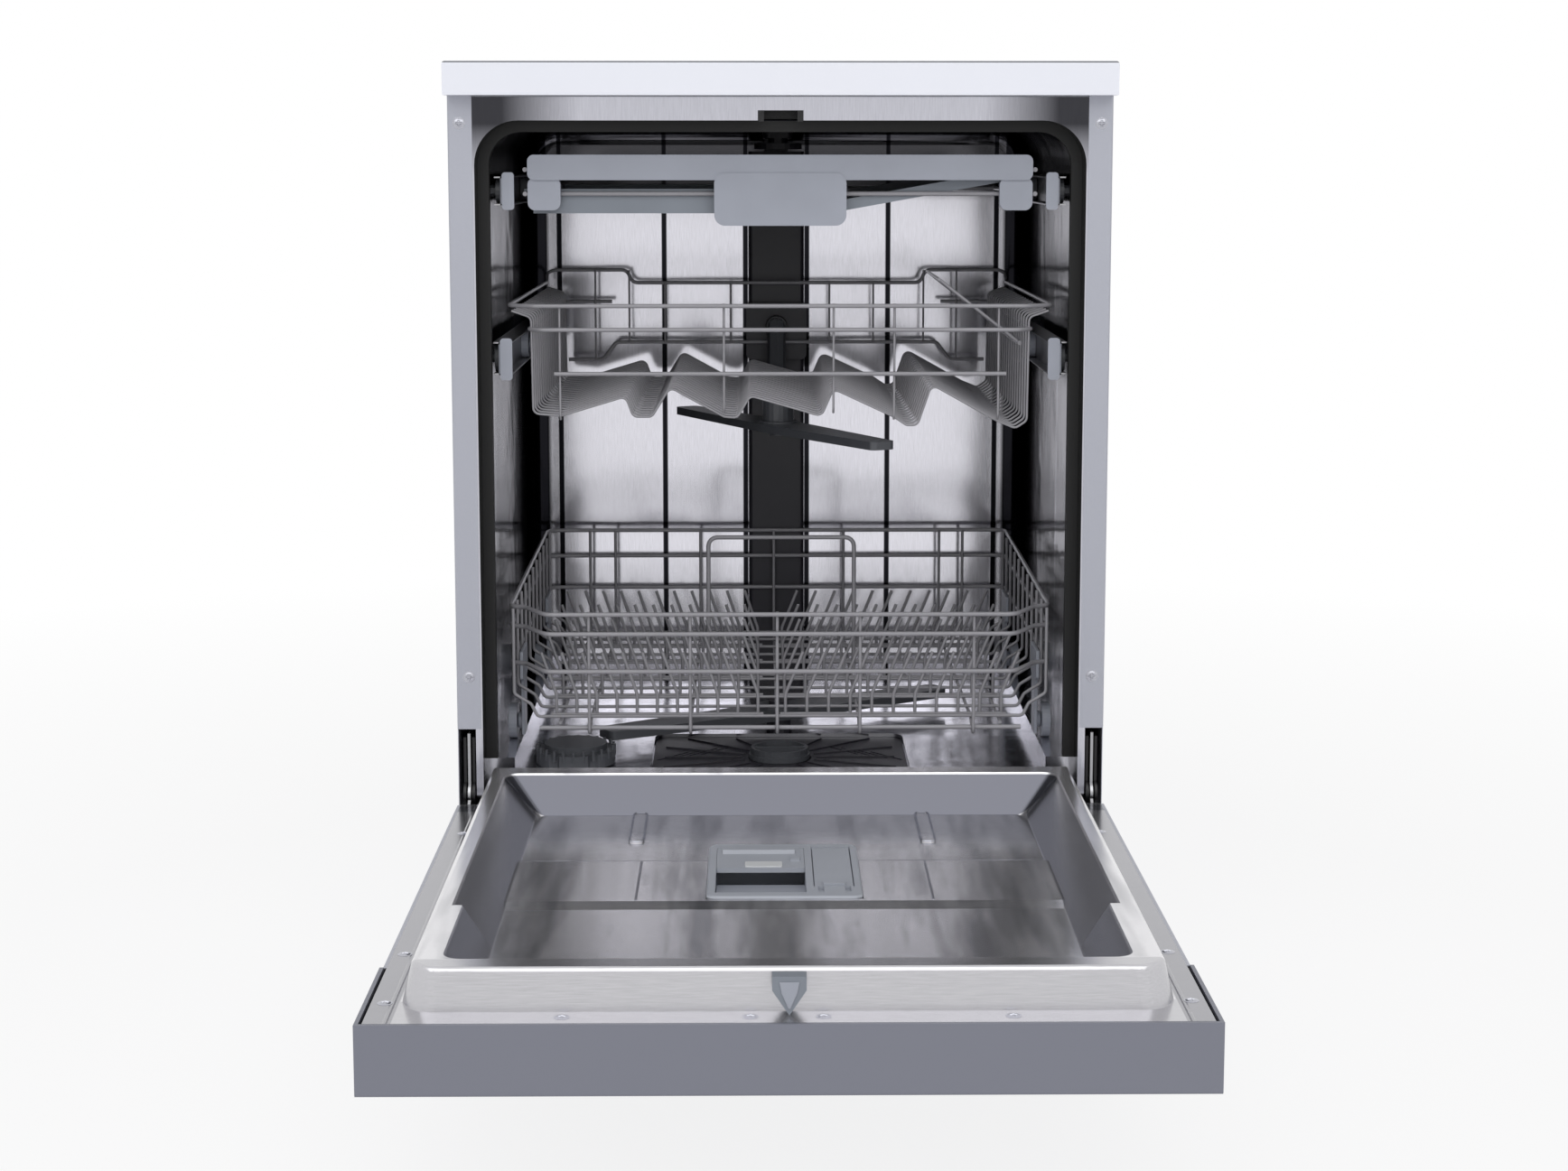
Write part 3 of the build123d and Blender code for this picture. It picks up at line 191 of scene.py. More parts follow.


# depth of the mouth, spacing of the painted pale streaks and the flange corners that are painted dark
tubWall = {"mouth": (0.0015, 0.004), "streak": 1 / 0.042, "cornerX": (0.18, 0.25), "cornerZ": (0.745, 0.79)}


def paintedTubReflection(tree, place):
    # painted reflection: inside the tub the walls are painted nearly black with paler vertical streaks, as they would
    # mirror each other; the flange at the front stays bright but for its top corners, painted dark
    across, depth, height = addNode(tree, "SeparateXYZ", (place,)).outputs
    start, end = tubWall["mouth"]
    inside = addNode(tree, "MapRange", (depth, frontPlane + start, frontPlane + end, 0.0, 1.0))
    upright = addNode(tree, "Mapping", {"Vector": place, "Scale": (1, 1, 0.02)})
    streak = addNode(tree, "TexNoise", {"Vector": upright, "Scale": 1000 / tubWall["streak"], "Detail": 3,
                                        "Roughness": 0.6})
    pale = addNode(tree, "MapRange", (streak, 0.6, 0.75, 1.0, 0.6))
    away = addNode(tree, "Math", (across,), operation="ABSOLUTE")
    bend = addNode(tree, "MapRange", (away, *tubWall["cornerX"], 0.0, 0.92))
    high = addNode(tree, "MapRange", (height, *tubWall["cornerZ"], 0.0, 1.0))
    return "#131318", [addNode(tree, "Math", (inside, pale), operation="MULTIPLY"),
                       addNode(tree, "Math", (bend, high), operation="MULTIPLY")]


def paintedEdgeShade(tree, place):
    # painted shade: a grey line along the worktop's rounded upper edge, where it turns away from the light
    height = addNode(tree, "SeparateXYZ", (place,)).outputs["Z"]
    return "#77797F", [lineAcross(tree, height, 0.8440, 0.0006, 0.0003)]


# places of the basin's painted shade and reflection streaks; fold is the flange's bump
basin = {"end": (-0.545, -0.543), "side": (0.2388, 0.0148, 0.001), "far": (0.0045, 0.0098, 0.001),
         "rim": (0.198, 0.199), "streak": 45, "flange": (0.274, 0.2755), "fold": (0.2795, 0.0008, 0.0012)}


def paintedBasinShadeAndReflection(tree, place):
    # painted shade and reflection: the basin's sloping side and far walls are painted darker, as they face the dark
    # tub and each other; its floor gets dark streaks that stand in for the mirrored baskets, and its flanges and the
    # end beyond it are painted darker
    across, depth, height = addNode(tree, "SeparateXYZ", (place,)).outputs
    away = addNode(tree, "Math", (across,), operation="ABSOLUTE")
    inBasin = addNode(tree, "MapRange", (depth, *basin["end"], 0.0, 1.0))
    below = addNode(tree, "MapRange", (height, *basin["rim"], 1.0, 0.0))
    side = addNode(tree, "Math", (lineAcross(tree, away, *basin["side"]), 0.76), operation="MULTIPLY")
    side = addNode(tree, "Math", (side, inBasin), operation="MULTIPLY")
    far = lineAcross(tree, depth, *basin["far"])
    along = addNode(tree, "Mapping", {"Vector": place, "Scale": (1, 0.12, 1)})
    streak = addNode(tree, "TexNoise", {"Vector": along, "Scale": 1000 / basin["streak"], "Detail": 3,
                                        "Roughness": 0.6})
    soft = addNode(tree, "MapRange", (streak, 0.48, 0.68, 0.0, 0.64))
    return "#64656D", [addNode(tree, "Math", (side, below), operation="MULTIPLY"),
                       addNode(tree, "Math", (far, below), operation="MULTIPLY"),
                       addNode(tree, "Math", (soft, inBasin), operation="MULTIPLY"),
                       addNode(tree, "MapRange", (away, *basin["flange"], 0.0, 0.66)),
                       addNode(tree, "MapRange", (depth, *basin["end"], 0.34, 0.0))]


def linerPress(tree, place):
    # the long fold beside the rim, where the liner's flange is pressed flat
    across = addNode(tree, "SeparateXYZ", (place,)).outputs["X"]
    away = addNode(tree, "Math", (across,), operation="ABSOLUTE")
    return addNode(tree, "Math", (lineAcross(tree, away, *basin["fold"]), 0.5), operation="MULTIPLY")


# steel wire dipped in nylon powder and fused: satin, faintly lumpy, darker in the welds' corners
nylonWire = mouldedPlastic("nylonDippedWire", "#959499", 0.22, 0.8)
# glass-filled nylon, moulded: dark and a little dry, so that jets and edges stay readable
darkNylon = mouldedPlastic("glassFilledNylon", "#4E5055", 0.4)
# ABS from a fine-textured mould: an even grey with a soft highlight
greyAbs = mouldedPlastic("greyMouldedAbs", "#A1A5B0", 0.4, 0.6)
# the dispenser's paler ABS, moulded the same way: it stands out a little from the steel round it
paleAbs = mouldedPlastic("paleMouldedAbs", "#ACB0B9", 0.4, 0.6)
# polypropylene, moulded: flatter and cooler than the ABS beside it
insertPp = mouldedPlastic("insertPolypropylene", "#838992", 0.45, 0.6)
# black polypropylene, moulded: hardly any tone, only a broad sheen
blackPp = mouldedPlastic("blackPolypropylene", "#131315", 0.5, 0.6)
# dark polypropylene of the duct and sump, moulded: a smoother face, so that its edges catch the light
ductPp = mouldedPlastic("ductPolypropylene", "#2B2A31", 0.42, 0.6)
# undyed polypropylene of pumps and tanks, moulded: milky and soft
whitePp = mouldedPlastic("naturalPolypropylene", "#D9DBDD", 0.4, 0.6)
# extruded EPDM rubber: nearly black and matt, with a dull line of light along the lip
sealRubber = mouldedPlastic("epdmSealRubber", "#0B0B0C", 0.55, 1.0)
# postformed laminate on chipboard: near white with a fine pearl, and a painted grey shade line where the top edge
# turns
laminate = mouldedPlastic("postformedLaminate", "#ECEEF6", 0.36, 0.9, 0.99, paintedEdgeShade)
# silver enamel, sprayed and stoved: flake and peel keep the large panels from looking flat
silverEnamel = paintedSheet("silverStoveEnamel", "#B1B3BD")
# the fascia's darker enamel, made the same way: the same flake in a deeper grey
greyEnamel = paintedSheet("greyStoveEnamel", "#7E808B", 0.42)
# mirror-rolled stainless steel, bent: painted dark reflection with paler streaks on the walls behind a bright front
# flange, whose top corners are painted dark
tubSteel = rolledSteel("tubMirrorSteel", "#C6C6CF", 0.12, (1, 1, 0.05), 0.45, 60, paintedTubReflection)
# the same steel, pressed with ribs: bright fields that bend their reflections, with painted dark reflection on the
# ribs, the corners and the top, and dark felt on its outer side
rearSteel = rolledSteel("rearWallSteel", "#E3E2EA", 0.13, (1, 1, 0.05), 0.4, 110, paintedRibReflectionAndFelt, wallFoot)
# the same steel, drawn deep for the floor: stronger waves break up what it mirrors
floorSteel = rolledSteel("tubFloorSteel", "#E2E2E8", 0.16, (1, 1, 0.05), 0.7, 55)
# brushed stainless steel, pressed: satin lines across the door, painted shade on the basin's walls, flanges and end,
# and painted dark reflection streaks on its floor
linerSteel = rolledSteel("linerBrushedSteel", "#ECEBEE", 0.2, (0.04, 1, 1), 0.3, 90, paintedBasinShadeAndReflection, linerPress)
linerSteel.node_tree.nodes["Principled BSDF"].inputs["Metallic"].default_value = 0.85
# hot-dip galvanised sheet: dull and slightly clouded
zincSheet = rolledSteel("zincCoatedSheet", "#B4B7BD", 0.4, (1, 1, 1), 0.1, 60)
# bright drawn spring steel: a clear highlight along each rail and coil
springSteel = rolledSteel("brightSpringSteel", "#B5B5B8", 0.3, (1, 1, 0.1), 0.1, 40)
# zinc-plated steel, cold headed: small bright domes with a darker recess
screwSteel = rolledSteel("zincPlatedScrew", "#B9BAC2", 0.25, (1, 1, 1), 0.05, 10)
# black dip paint on the hinge brackets: dark with a faint sheen
blackSteel = paintedSheet("blackPaintedSteel", "#131315", 0.35, 0.2, 0.4)
print("materials made")

finishes = (
    (laminate, "worktop"), (silverEnamel, "side_panel_left side_panel_right door_outer_panel"),
    (greyEnamel, "kick_plate control_fascia"), (zincSheet, "rear_panel front_crossbar"),
    (blackPp, "base_tray front_foot_left front_foot_right rear_feet rear_fittings door_lock"),
    (whitePp, "air_break_tank wash_pump drain_pump softener_tank"),
    (ductPp, "sump filter_plate spray_duct ceiling_nozzle"),
    (darkNylon, "salt_cap lower_spray_arm upper_spray_arm feed_pipe filter_cylinder wall_rollers"),
    (tubSteel, "tub_wrap"), (rearSteel, "tub_rear_wall"), (floorSteel, "tub_floor"), (linerSteel, "door_liner"),
    (springSteel, "upper_rails tray_rails door_springs hinge_arms"), (sealRubber, "tub_seals"),
    (blackSteel, "hinge_brackets"), (insertPp, "latch_hook cutlery_inserts"),
    (greyAbs, "upper_rail_stop_left upper_rail_stop_right tray_rail_stop_left tray_rail_stop_right "
              "lower_wheels_front lower_wheels_rear upper_wheels_front upper_wheels_rear "
              "power_button program_button start_button tray_front_bar"),
    (paleAbs, "dispenser_housing dispenser_lid rinse_flap"),
    (nylonWire, "lower_basket plate_tines upper_basket tray_frame cup_shelf"))
for material, names in finishes:
    for name in names.split():
        nodes[name].data.materials.clear()
        nodes[name].data.materials.append(material)
print("finishes given to the CAD nodes:", sum(len(names.split()) for material, names in finishes))


def roundBends(points, radius, closed=False, steps=4):
    # swaps each corner of a wire's line for a short arc
    points = [Vector(p) for p in points]
    count = len(points)
    corners = range(count) if closed else range(1, count - 1)
    line = [] if closed else [points[0]]
    for i in corners:
        before, corner, after = points[i - 1], points[i], points[(i + 1) % count]
        a, b = (before - corner), (after - corner)
        angle = a.angle(b)
        if angle > math.radians(176):
            line.append(corner)
            continue
        cut = min(radius / math.tan(angle / 2), a.length * 0.45, b.length * 0.45)
        arc = cut * math.tan(angle / 2)
        centre = corner + (a.normalized() + b.normalized()).normalized() * (arc / math.sin(angle / 2))
        start, end = corner + a.normalized() * cut - centre, corner + b.normalized() * cut - centre
        for step in range(steps + 1):
            line.append(centre + start.slerp(end, step / steps).normalized() * arc)
    if not closed:
        line.append(points[-1])
    return line


def wires(name, runs, body, replaced=None, material=nylonWire):
    # one curve object for each diameter; a run is (points in mm, diameter, bend radius, closed)
    made = []
    for diameter in sorted({run[1] for run in runs}, reverse=True):
        curve = bpy.data.curves.new(f"{name}{int(diameter * 10)}", "CURVE")
        curve.dimensions = "3D"
        curve.bevel_depth = diameter / 2000
        curve.bevel_resolution = 2
        curve.use_fill_caps = True
        for points, size, bend, closed in runs:
            if size != diameter:
                continue
            line = roundBends([at(*p) for p in points], bend / 1000, closed)
            spline = curve.splines.new("POLY")
            spline.points.add(len(line) - 1)
            for point, place in zip(spline.points, line):
                point.co = (*place, 1)
            spline.use_cyclic_u = closed
            spline.use_smooth = True
        curve.materials.append(material)
        thing = bpy.data.objects.new(curve.name, curve)
        bpy.context.scene.collection.objects.link(thing)
        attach(thing, body)
        made.append(thing)
    if replaced:
        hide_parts(replaced)
    return made


def finishMesh(name, mesh, body, material, bevel=0.0, segments=2):
    # names a mesh, softens its edges and puts it on a body
    data = bpy.data.meshes.new(name)
    bmesh.ops.remove_doubles(mesh, verts=mesh.verts, dist=1e-6)
    bmesh.ops.recalc_face_normals(mesh, faces=mesh.faces)
    mesh.to_mesh(data)
    mesh.free()
    data.materials.append(material)
    thing = bpy.data.objects.new(name, data)
    bpy.context.scene.collection.objects.link(thing)
    if bevel:
        edge = thing.modifiers.new("edges", "BEVEL")
        edge.width = bevel / 1000
        edge.segments = segments
        edge.limit_method = "ANGLE"
        edge.angle_limit = math.radians(35)
    for face in data.polygons:
        face.use_smooth = True
    data.set_sharp_from_angle(angle=math.radians(38))
    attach(thing, body)
    return thing


def pushOutline(mesh, outline, axis, low, high):
    # an outline of two coordinates in mm, pushed along the third from low to high
    def point(a, b, c):
        return at(*{"x": (c, a, b), "y": (a, c, b), "z": (a, b, c)}[axis])
    lower = [mesh.verts.new(point(a, b, low)) for a, b in outline]
    upper = [mesh.verts.new(point(a, b, high)) for a, b in outline]
    count = len(outline)
    mesh.faces.new(lower[::-1])
    mesh.faces.new(upper)
    for i in range(count):
        mesh.faces.new((lower[i], lower[(i + 1) % count], upper[(i + 1) % count], upper[i]))


def roundedBox(width, height, radius, x=0, y=0, steps=5):
    # the outline of a rectangle with round corners, in mm
    outline = []
    for sx, sy, turn in ((1, 1, 0), (-1, 1, 90), (-1, -1, 180), (1, -1, 270)):
        for i in range(steps + 1):
            a = math.radians(turn + 90 * i / steps)
            outline.append((x + sx * (width / 2 - radius) + radius * math.cos(a),
                            y + sy * (height / 2 - radius) + radius * math.sin(a)))
    return outline


def turnProfile(mesh, profile, place, axis, sides=24):
    # turns (radius, height) points in mm round an axis through a place in mm
    turn = {"x": Matrix.Rotation(math.pi / 2, 4, "Y"), "-x": Matrix.Rotation(-math.pi / 2, 4, "Y"),
            "-y": Matrix.Rotation(math.pi / 2, 4, "X"), "z": Matrix.Identity(4)}[axis]
    rings = []
    for radius, height in profile:
        ring = []
        for i in range(1 if radius == 0 else sides):
            a = 2 * math.pi * i / sides
            local = turn @ Vector((radius * math.cos(a), radius * math.sin(a), height))
            ring.append(mesh.verts.new(at(*(Vector(place) + local))))
        rings.append(ring)
    for first, second in zip(rings, rings[1:]):
        for i in range(sides):
            j = (i + 1) % sides
            if len(first) == 1:
                mesh.faces.new((first[0], second[i], second[j]))
            elif len(second) == 1:
                mesh.faces.new((first[i], first[j], second[0]))
            else:
                mesh.faces.new((first[i], first[j], second[j], second[i]))


lowerBasket = {"half": 255, "front": 28, "rear": 511, "rim": 338, "rearRim": 348, "drops": (0, 18.5, 54),
               "corner": ((0, 47), (14, 42), (36, 0)), "shoulder": ((0, 258), (16, 248)), "footIn": 22,
               "floor": 236, "heavy": 4.4, "light": 3.2, "crossCount": 11, "crossFirst": 54, "crossPitch": 44,
               "longX": (-179, -84.4, -3, 74.5, 181), "sideX": 207, "hook": 223.8, "hookRun": (12, 24),
               "barHalf": 226, "handle": (-71, 76.6, 250.5, 378), "proud": 2}


def bothEnds(points):
    # a line and its mirror image, joined across the middle
    return [*points, *[(-x, y, z) for x, y, z in reversed(points)]]


def lowerBasketRuns(b):
    runs = []
    heavy, light, front, rear = b["heavy"], b["light"], b["front"], b["rear"]
    touch = (heavy + light) / 2
    for drop in b["drops"]:
        z = b["rim"] - drop
        corner = [(b["half"] - inward, front + back, z) for inward, back in b["corner"]]
        runs.append((bothEnds([(b["half"], rear, z if drop else b["rearRim"]), *corner]), heavy, 14, True))
    side = b["half"] - touch
    for i in range(b["crossCount"]):
        y = b["crossFirst"] + i * b["crossPitch"]
        top = b["rim"] + 1 + (b["rearRim"] - b["rim"]) * (y - front) / (rear - front)
        shoulder = [(inward - side, y, z) for inward, z in b["shoulder"]]
        runs.append((bothEnds([(-side, y, top), *shoulder, (b["footIn"] - side, y, b["floor"])]), light, 5, False))
    low = b["floor"] - light
    hook, (near, far) = b["hook"], b["hookRun"]
    face, back = front + touch, rear - touch
    for x in b["longX"]:
        runs.append(([(x, face, b["rim"] + b["proud"]), (x, face, hook), (x, face + near, hook), (x, face + far, low),
                      (x, back, low), (x, back, b["rearRim"])], light, 6, False))
    for x in (-b["sideX"], b["sideX"]):
        runs.append(([(x, face + 8, low), (x, back, low), (x, back, b["rearRim"])], light, 8, False))
    bar = front + 2 * touch + 0.4
    runs.append(([(s * b["barHalf"], bar, low - touch) for s in (-1, 1)], heavy, 5, False))
    left, right, y, top = b["handle"]
    foot = low + touch
    runs.append(([(left, y, foot), (right, y, foot), (right, y, top), (left, y, top)], heavy, 9, True))
    return runs


wires("lowerBasketWire", lowerBasketRuns(lowerBasket), "lower_rack", "lower_basket")

tineRows = {"rows": 5, "firstRow": 64, "rowPitch": 88, "tines": 11, "wire": 3.2, "base": 236, "overhang": 5,
            "foot": 237, "bend": 255, "tip": 295.5, "radius": 12, "left": (-212, -21, -14), "right": (5, 210, 16.5)}


def tineRuns(t):
    # each row is a base wire and leaning tines; left and right are first x, last x and lean
    runs = []
    for row in range(t["rows"]):
        y = t["firstRow"] + row * t["rowPitch"]
        for first, last, lean in (t["left"], t["right"]):
            ends = (first - t["overhang"], last + t["overhang"])
            runs.append(([(x, y, t["base"]) for x in ends], t["wire"], 5, False))
            for i in range(t["tines"]):
                x = first + i * (last - first) / (t["tines"] - 1)
                runs.append(([(x, y, t["foot"]), (x, y, t["bend"]), (x + lean, y, t["tip"])], t["wire"], t["radius"],
                             False))
    return runs


wires("plateTine", tineRuns(tineRows), "lower_rack", "plate_tines")

carrier = {"ys": (120, 428), "inner": 246.2, "outer": 249.2, "hubX": 248.2, "wheelZ": 218.3, "edge": 0.6,
           "plate": ((-26, 264), (-16, 260), (-12, 206.3), (12, 206.3), (16, 260), (26, 264), (26, 290), (-26, 290)),
           "hub": ((0, 0), (8, 0), (8, 4.5), (6.5, 5.5), (4, 5.5), (4, 14), (5, 14.2), (5, 15), (4, 15.6), (0, 15.6))}


def addCarriers(c):
    # the plates that carry the lower basket's wheels, each with its axle and snap
    mesh = bmesh.new()
    for y in c["ys"]:
        for s in (-1, 1):
            low, high = sorted((s * c["inner"], s * c["outer"]))
            pushOutline(mesh, [(y + across, z) for across, z in c["plate"]], "x", low, high)
            turnProfile(mesh, c["hub"], (s * c["hubX"], y, c["wheelZ"]), "x" if s > 0 else "-x")
    finishMesh("basketCarriers", mesh, "lower_rack", greyAbs, c["edge"])


addCarriers(carrier)
print("lower basket made")

upperBasket = {"front": 30, "rear": 500, "half": 228.5, "heavy": 4, "light": 2.2, "waves": 20, "firstWave": 40,
               "lastWave": 470,
               "profile": ((-247.5, 620), (-229.5, 614), (-228.5, 525), (-203, 523), (-143, 541), (-136, 522),
                           (-119, 522), (-102, 549.5), (-52, 522), (-40, 521), (-28, 541.5), (38, 522.5), (49, 548),
                           (105, 522), (117, 514), (127, 514), (140, 552), (201, 518), (218, 511), (228.5, 518),
                           (229.5, 614), (247.5, 620)),
               "rim": 624.9, "rimHalf": 250, "rearRim": 637.5, "dip": (158, 623.5), "middle": 603,
               "lowFront": (208, 562.5), "lowRear": ((228, 539.5), (190, 539.5), (176, 558.5)),
               "feet": (60, 520, 526), "frontX": (-203, -52, 49, 105, 201),
               "rearX": (-198, -161, -122, -50, 58, 106, 161, 197)}


def upperBasketRuns(b):
    runs = []
    heavy, light, front, rear = b["heavy"], b["light"], b["front"], b["rear"]
    touch = (heavy + light) / 2
    side = b["half"] + touch
    for i in range(b["waves"]):
        y = b["firstWave"] + i * (b["lastWave"] - b["firstWave"]) / (b["waves"] - 1)
        runs.append(([(x, y, z) for x, z in b["profile"]], light, 6, False))
    rim, half, rearRim, (dipX, dipZ) = b["rim"], b["rimHalf"], b["rearRim"], b["dip"]
    runs.append((bothEnds([(dipX, rear, dipZ), (dipX + 5, rear, rearRim), (half - 6, rear, rearRim),
                           (half, rear - 8, rearRim - 3.5), (half, rear - 20, rim), (half, front + 14, rim),
                           (half - 24, front, rim)]), heavy, 9, True))
    middle = b["middle"]
    runs.append((bothEnds([(180, rear, middle), (side - 8, rear, middle), (side, rear - 8, middle),
                           (side, front + 12, middle), (side - 12, front, middle)]), heavy, 10, False))
    reach, low = b["lowFront"]
    runs.append(([(-reach, front, low), (reach, front, low)], heavy, 5, False))
    runs.append((bothEnds([(x, rear, z) for x, z in b["lowRear"]]), heavy, 8, False))
    face, (split, outerFoot, innerFoot) = front + touch, b["feet"]
    for x in b["frontX"]:
        low = outerFoot if abs(x) > split else innerFoot
        runs.append(([(x, face, rim + 2), (x, face, low + 4), (x, face + 4, low)], light, 4, False))
    (_, outer), _, (step, inner) = b["lowRear"]
    for x in b["rearX"]:
        low = outer if abs(x) > step else inner
        high = rearRim if abs(x) > dipX else dipZ
        runs.append(([(x, rear - touch, low), (x, rear - touch, high)], light, 4, False))
    return runs


wires("upperBasketWire", upperBasketRuns(upperBasket), "upper_rack", "upper_basket")

sidePlate = {"inner": 234.7, "thick": 4, "centre": (340, 584), "size": (270, 52), "round": 10, "edge": 0.8,
             "wheels": (230, 440), "railZ": 576, "hubX": 238.3,
             "hub": ((0, 0), (9, 0), (7, 2), (7, 9.2), (4, 9.2), (4, 16.8), (3.4, 17.2), (0, 17.2))}


def addSidePlates(p):
    # the plates at the upper basket's sides, with the axles that its wheels turn on
    mesh = bmesh.new()
    for s in (-1, 1):
        low, high = sorted((s * p["inner"], s * (p["inner"] + p["thick"])))
        pushOutline(mesh, roundedBox(*p["size"], p["round"], *p["centre"]), "x", low, high)
        for y in p["wheels"]:
            turnProfile(mesh, p["hub"], (s * p["hubX"], y, p["railZ"]), "x" if s > 0 else "-x")
    finishMesh("rackSidePlates", mesh, "upper_rack", greyAbs, p["edge"])


addSidePlates(sidePlate)

cupShelf = {"rod": (224.3, 588), "tilt": 142, "length": 96, "from": 70, "to": 250, "bars": 9, "inset": 4,
            "rodWire": 4.4, "wire": 3}


def cupShelfRuns(c):
    # a rod that the shelf folds on, a far rod, and bars between them
    x, z = c["rod"]
    tilt = math.radians(c["tilt"])
    tipX, tipZ = x + c["length"] * math.cos(tilt), z + c["length"] * math.sin(tilt)
    runs = [([(x, c["from"], z), (x, c["to"], z)], c["rodWire"], 4, False),
            ([(tipX, c["from"], tipZ), (tipX, c["to"], tipZ)], c["wire"], 4, False)]
    first, last = c["from"] + c["inset"], c["to"] - c["inset"]
    for i in range(c["bars"]):
        y = first + i * (last - first) / (c["bars"] - 1)
        runs.append(([(x, y, z), (tipX, y, tipZ)], c["wire"], 4, False))
    return runs


wires("cupShelfWire", cupShelfRuns(cupShelf), "cup_shelf", "cup_shelf")
print("upper basket made")

trayFrame = {"half": 231, "front": 35, "rear": 440, "back": 49.2, "side": 233.4, "levels": (749, 727),
             "floor": 709, "wire": 4.4, "shoes": (210, 400), "shoeX": (235.8, 244.2), "runnerX": (244, 251.7),
             "railZ": 729.6, "edge": 0.8}


def trayFrameRuns(t):
    runs = []
    wire, half, front, rear = t["wire"], t["half"], t["front"] + 3, t["rear"]
    upper, lower = t["levels"]
    for z in (upper, lower):
        runs.append(([(-half, t["back"], z), (half, t["back"], z)], wire, 5, False))
        for x in (-t["side"], t["side"]):
            runs.append(([(x, front, z), (x, rear, z)], wire, 5, False))
    runs.append(([(-half, rear - 4, lower), (half, rear - 4, lower)], wire, 5, False))
    low, end = t["floor"] - wire / 2, rear - 8.6
    runs.append(([(0, front + 0.5, low), (0, end, low), (0, end, lower)], wire, 7, False))
    return runs


wires("trayWire", trayFrameRuns(trayFrame), "cutlery_tray", "tray_frame")


def addTrayShoes(t):
    # shoes clipped on the frame's side wires, each with a runner that fits the rail's groove
    mesh = bmesh.new()
    for s in (-1, 1):
        for y in t["shoes"]:
            low, high = sorted(s * x for x in t["shoeX"])
            pushOutline(mesh, roundedBox(40, 16, 2, y, t["railZ"] + 2.4), "x", low, high)
            low, high = sorted(s * x for x in t["runnerX"])
            pushOutline(mesh, roundedBox(40, 23, 6, y, t["railZ"]), "x", low, high)
    finishMesh("trayShoes", mesh, "cutlery_tray", darkNylon, t["edge"])


addTrayShoes(trayFrame)
print("cutlery tray made")

liner = {"floor": 165, "band": 168, "beadX": 128, "bead": (12, 100, -92), "beadRound": 5.5, "beadWire": 2.2,
         "creaseX": 120, "crease": (-330, -214), "creaseWire": 2.4}


def linerFolds(b):
    # the edges of the pressed beads and the folds across the band, as ridges half sunk in the sheet
    runs = []
    width, length, y = b["bead"]
    for s in (-1, 1):
        ring = roundedBox(width, length, b["beadRound"], s * b["beadX"], y)
        runs.append(([(*p, b["floor"] + 1.4) for p in ring], b["beadWire"], 1, True))
        runs.append(([(s * b["creaseX"], end, b["band"] - 0.3) for end in b["crease"]], b["creaseWire"], 2, False))
    return runs


wires("linerFold", linerFolds(liner), "door", None, screwSteel)

dispenser = {"window": (-32.5, -1, -239, -223), "windowZ": (169.8, 170.9), "windowRound": 2,
             "ramp": (-56, 18, -315.5, -243), "rampZ": (168.4, 156), "rampThick": 2}


def addDispenserTrim(d):
    # the slope that the detergent slides down, and the window on the sliding lid
    left, right, near, far = d["ramp"]
    top, low = d["rampZ"]
    thick = d["rampThick"]
    mesh = bmesh.new()
    pushOutline(mesh, [(near, top), (far, low), (far, low - thick), (near, top - thick)], "x", left, right)
    finishMesh("detergentRamp", mesh, "door", greyAbs, 0.4)
    left, right, near, far = d["window"]
    mesh = bmesh.new()
    pushOutline(mesh, roundedBox(right - left, far - near, d["windowRound"], (left + right) / 2, (near + far) / 2),
                "z", *d["windowZ"])
    finishMesh("levelWindow", mesh, "dispenser_lid", whitePp, 0.3)


addDispenserTrim(dispenser)

latchFace = {"outline": ((-7, 194), (7, 194), (5.5, 186), (0.8, 175), (-0.8, 175), (-5.5, 186)),
             "depth": (-620.9, -619.8)}


def addLatchFace(f):
    # the raised arrow on the keel
    mesh = bmesh.new()
    pushOutline(mesh, f["outline"], "y", *f["depth"])
    finishMesh("latchFace", mesh, "door", greyAbs, 0.4)


addLatchFace(latchFace)
print("door liner and dispenser made")

filterTop = {"ribs": 7, "rib": (1.6, 1.4), "reach": (36, 112), "reachY": 80, "spread": 62, "centreY": 125,
             "capRibs": 24, "capRib": (3, 3, 1.2), "capDrop": (12, 1.5)}


def addFilterRibs(f):
    # ribs that fan out from the filter's well across the perforated plate
    low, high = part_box("filter_plate")
    mesh = bmesh.new()
    width, rise = f["rib"]
    top = high[2] * 1000
    for s in (-1, 1):
        for i in range(f["ribs"]):
            a = math.radians(-f["spread"] + 2 * f["spread"] * i / (f["ribs"] - 1))
            start = Vector((s * math.cos(a), math.sin(a)))
            across = Vector((-start.y, start.x)) * width / 2
            far = min(f["reach"][1] / abs(start.x), f["reachY"] / max(abs(start.y), 0.01))
            first, last = start * f["reach"][0], start * far
            outline = [first + across, first - across, last - across, last + across]
            pushOutline(mesh, [(p.x, p.y + f["centreY"]) for p in outline], "z", top - 0.4, top + rise)
    finishMesh("filterRibs", mesh, "cabinet", ductPp, 0.3)


def addCapGrip(f):
    # grip ribs round the salt cap
    low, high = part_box("salt_cap")
    centre = [(a + b) * 500 for a, b in zip(low, high)]
    radius = (high[0] - low[0]) * 500
    mesh = bmesh.new()
    for i in range(f["capRibs"]):
        a = 2 * math.pi * i / f["capRibs"]
        x = centre[0] + (radius - 0.6) * math.cos(a)
        y = centre[1] - frontPlane * 1000 + (radius - 0.6) * math.sin(a)
        pushOutline(mesh, roundedBox(*f["capRib"], x, y, 3), "z", *[high[2] * 1000 - drop for drop in f["capDrop"]])
    finishMesh("capGrip", mesh, "salt_cap", darkNylon)


